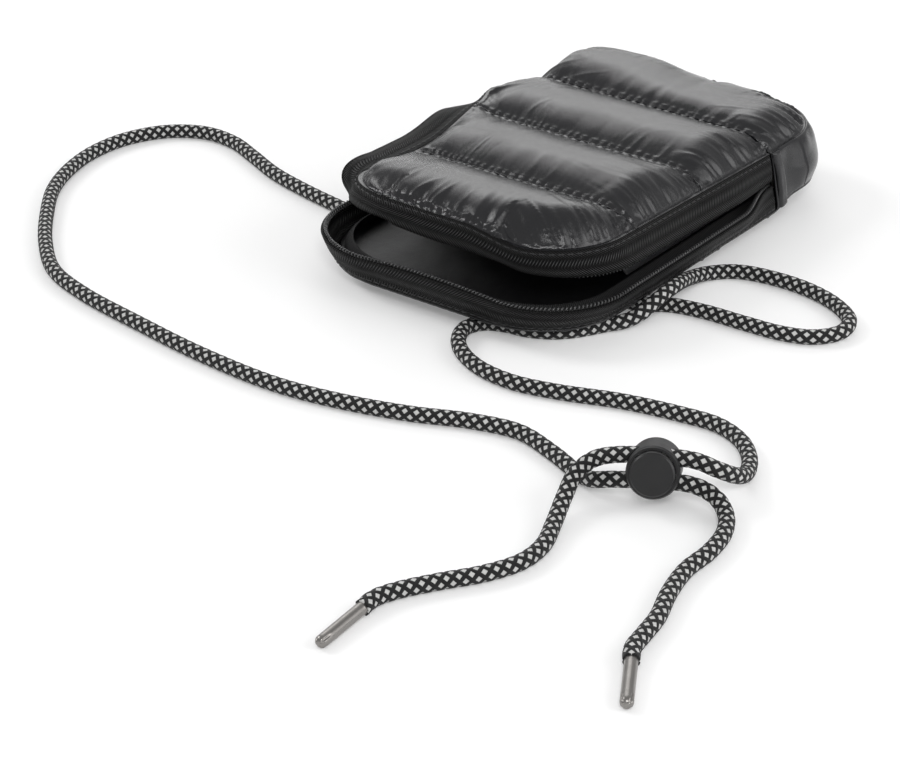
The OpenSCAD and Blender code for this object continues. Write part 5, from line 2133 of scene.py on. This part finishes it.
@dataclass
class Studio:
    """Camera, lamps, floor and surroundings."""

    azimuth: float = 36.6
    elevation: float = 28.0
    place: Point = (0.561156, -0.834319, 0.469863)
    lens: float = 120.0
    dim: float = 0.5
    glow: float = 0.68
    glow_elevation: float = 24.0
    glow_range: tuple[float, float] = (0.7, 0.98)
    floor_half: float = 2.5
    floor_glow: float = 0.2
    lamps: tuple[Lamp, ...] = (
        Lamp("key", (-0.95, 1.25, 0.85), 1.0, 6.0),
        Lamp("right", (1.5, 0.45, 0.8), 1.2, 12.0),
        Lamp("front", (1.0, -1.3, 1.3), 0.5, 12.0),
        Lamp("left", (-1.4, -0.4, 1.1), 0.6, 9.0))

    def make(self) -> None:
        """Build the camera, the light and the floor."""
        scene = bpy.context.scene
        scene.view_settings.view_transform = "Standard"
        camera = bpy.data.objects.new("camera", bpy.data.cameras.new("camera"))
        camera.data.lens, camera.data.sensor_width, camera.data.sensor_fit = self.lens, 36.0, "HORIZONTAL"
        a, e = math.radians(self.azimuth), math.radians(self.elevation)
        forward = Vector((-math.sin(a) * math.cos(e), math.cos(a) * math.cos(e), -math.sin(e)))
        camera.location = self.place
        camera.rotation_euler = forward.to_track_quat("-Z", "Y").to_euler()
        scene.collection.objects.link(camera)
        scene.camera = camera
        for lamp in self.lamps:
            self.hang(lamp)
        self.world()
        self.floor()

    def hang(self, lamp: Lamp) -> None:
        """Put a lamp in its place, facing the pouch.

        Args:
            lamp: The lamp.
        """
        light = bpy.data.lights.new(lamp.name, "AREA")
        light.shape, light.size, light.energy = "SQUARE", lamp.size, lamp.power
        hung = bpy.data.objects.new(lamp.name, light)
        hung.location = lamp.place
        hung.rotation_euler = (Vector((0.0, 0.0, 0.0)) - Vector(lamp.place)).to_track_quat("-Z", "Y").to_euler()
        bpy.context.scene.collection.objects.link(hung)

    def world(self) -> None:
        """Pale surroundings, white to the camera and brighter low behind the pouch."""
        world = bpy.data.worlds.new("surroundings")
        world.use_nodes = True
        tree = world.node_tree
        add, link = tree.nodes.new, tree.links.new
        a, e = math.radians(self.azimuth), math.radians(self.glow_elevation)
        place = add("ShaderNodeTexCoord")
        toward = add("ShaderNodeVectorMath")
        toward.operation = "DOT_PRODUCT"
        toward.inputs[1].default_value = (-math.sin(a) * math.cos(e), math.cos(a) * math.cos(e), math.sin(e))
        link(place.outputs["Generated"], toward.inputs[0])
        glow = add("ShaderNodeMapRange")
        glow.interpolation_type = "SMOOTHSTEP"
        for key, value in zip(("From Min", "From Max", "To Min", "To Max"), (*self.glow_range, self.dim, self.glow)):
            glow.inputs[key].default_value = value
        link(toward.outputs["Value"], glow.inputs["Value"])
        path = add("ShaderNodeLightPath")
        level = add("ShaderNodeMix")
        level.data_type = "FLOAT"
        level.inputs["B"].default_value = 1.0
        link(path.outputs["Is Camera Ray"], level.inputs["Factor"])
        link(glow.outputs[0], level.inputs["A"])
        back = tree.nodes["Background"]
        link(level.outputs["Result"], back.inputs["Strength"])
        back.inputs["Color"].default_value = (1, 1, 1, 1)
        bpy.context.scene.world = world

    def floor(self) -> None:
        """A wide white floor that keeps the shadows."""
        n = self.floor_half
        mesh = bpy.data.meshes.new("floor")
        mesh.from_pydata([(-n, -n, 0), (n, -n, 0), (n, n, 0), (-n, n, 0)], [], [(0, 1, 2, 3)])
        floor = bpy.data.objects.new("floor", mesh)
        bpy.context.scene.collection.objects.link(floor)
        nodes = Nodes("floor_white", 0.9)
        nodes.shader.inputs["Base Color"].default_value = (0.8, 0.8, 0.8, 1)
        nodes.shader.inputs["Specular IOR Level"].default_value = 0.1
        glow = nodes.add("ShaderNodeLightPath")
        seen = nodes.sums("MAXIMUM", glow.outputs["Is Camera Ray"], glow.outputs["Is Glossy Ray"])
        nodes.put(nodes.shader.inputs["Emission Strength"], nodes.sums("MULTIPLY", seen, self.floor_glow))
        nodes.shader.inputs["Emission Color"].default_value = (1, 1, 1, 1)
        mesh.materials.append(nodes.material)


def dress_nodes(wardrobe: Wardrobe) -> None:
    """Give the CAD nodes that stay their finishes, and give the lock's spring a mesh of its own.

    Args:
        wardrobe: Holds the materials.
    """
    for node in ("zip_slider", "zip_puller", "near_stop", "far_stop"):
        wardrobe.refinish(node, Finish.METAL)
    for node in ("lock_barrel", "lock_plunger"):
        wardrobe.refinish(node, Finish.LOCK)
    spring = wardrobe.refinish("lock_spring", Finish.STEEL)
    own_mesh(spring)


def main() -> None:
    """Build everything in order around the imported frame."""
    logging.basicConfig(level=logging.INFO, format="%(name)s: %(message)s")
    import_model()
    wardrobe = Wardrobe()
    Studio().make()
    ShoulderCord().make(wardrobe)
    Quilts().make(wardrobe)
    ZipTrack().make(wardrobe)
    EndWall().make(wardrobe)
    Inside().make(wardrobe)
    dress_nodes(wardrobe)


if __name__ == "__main__":
    main()
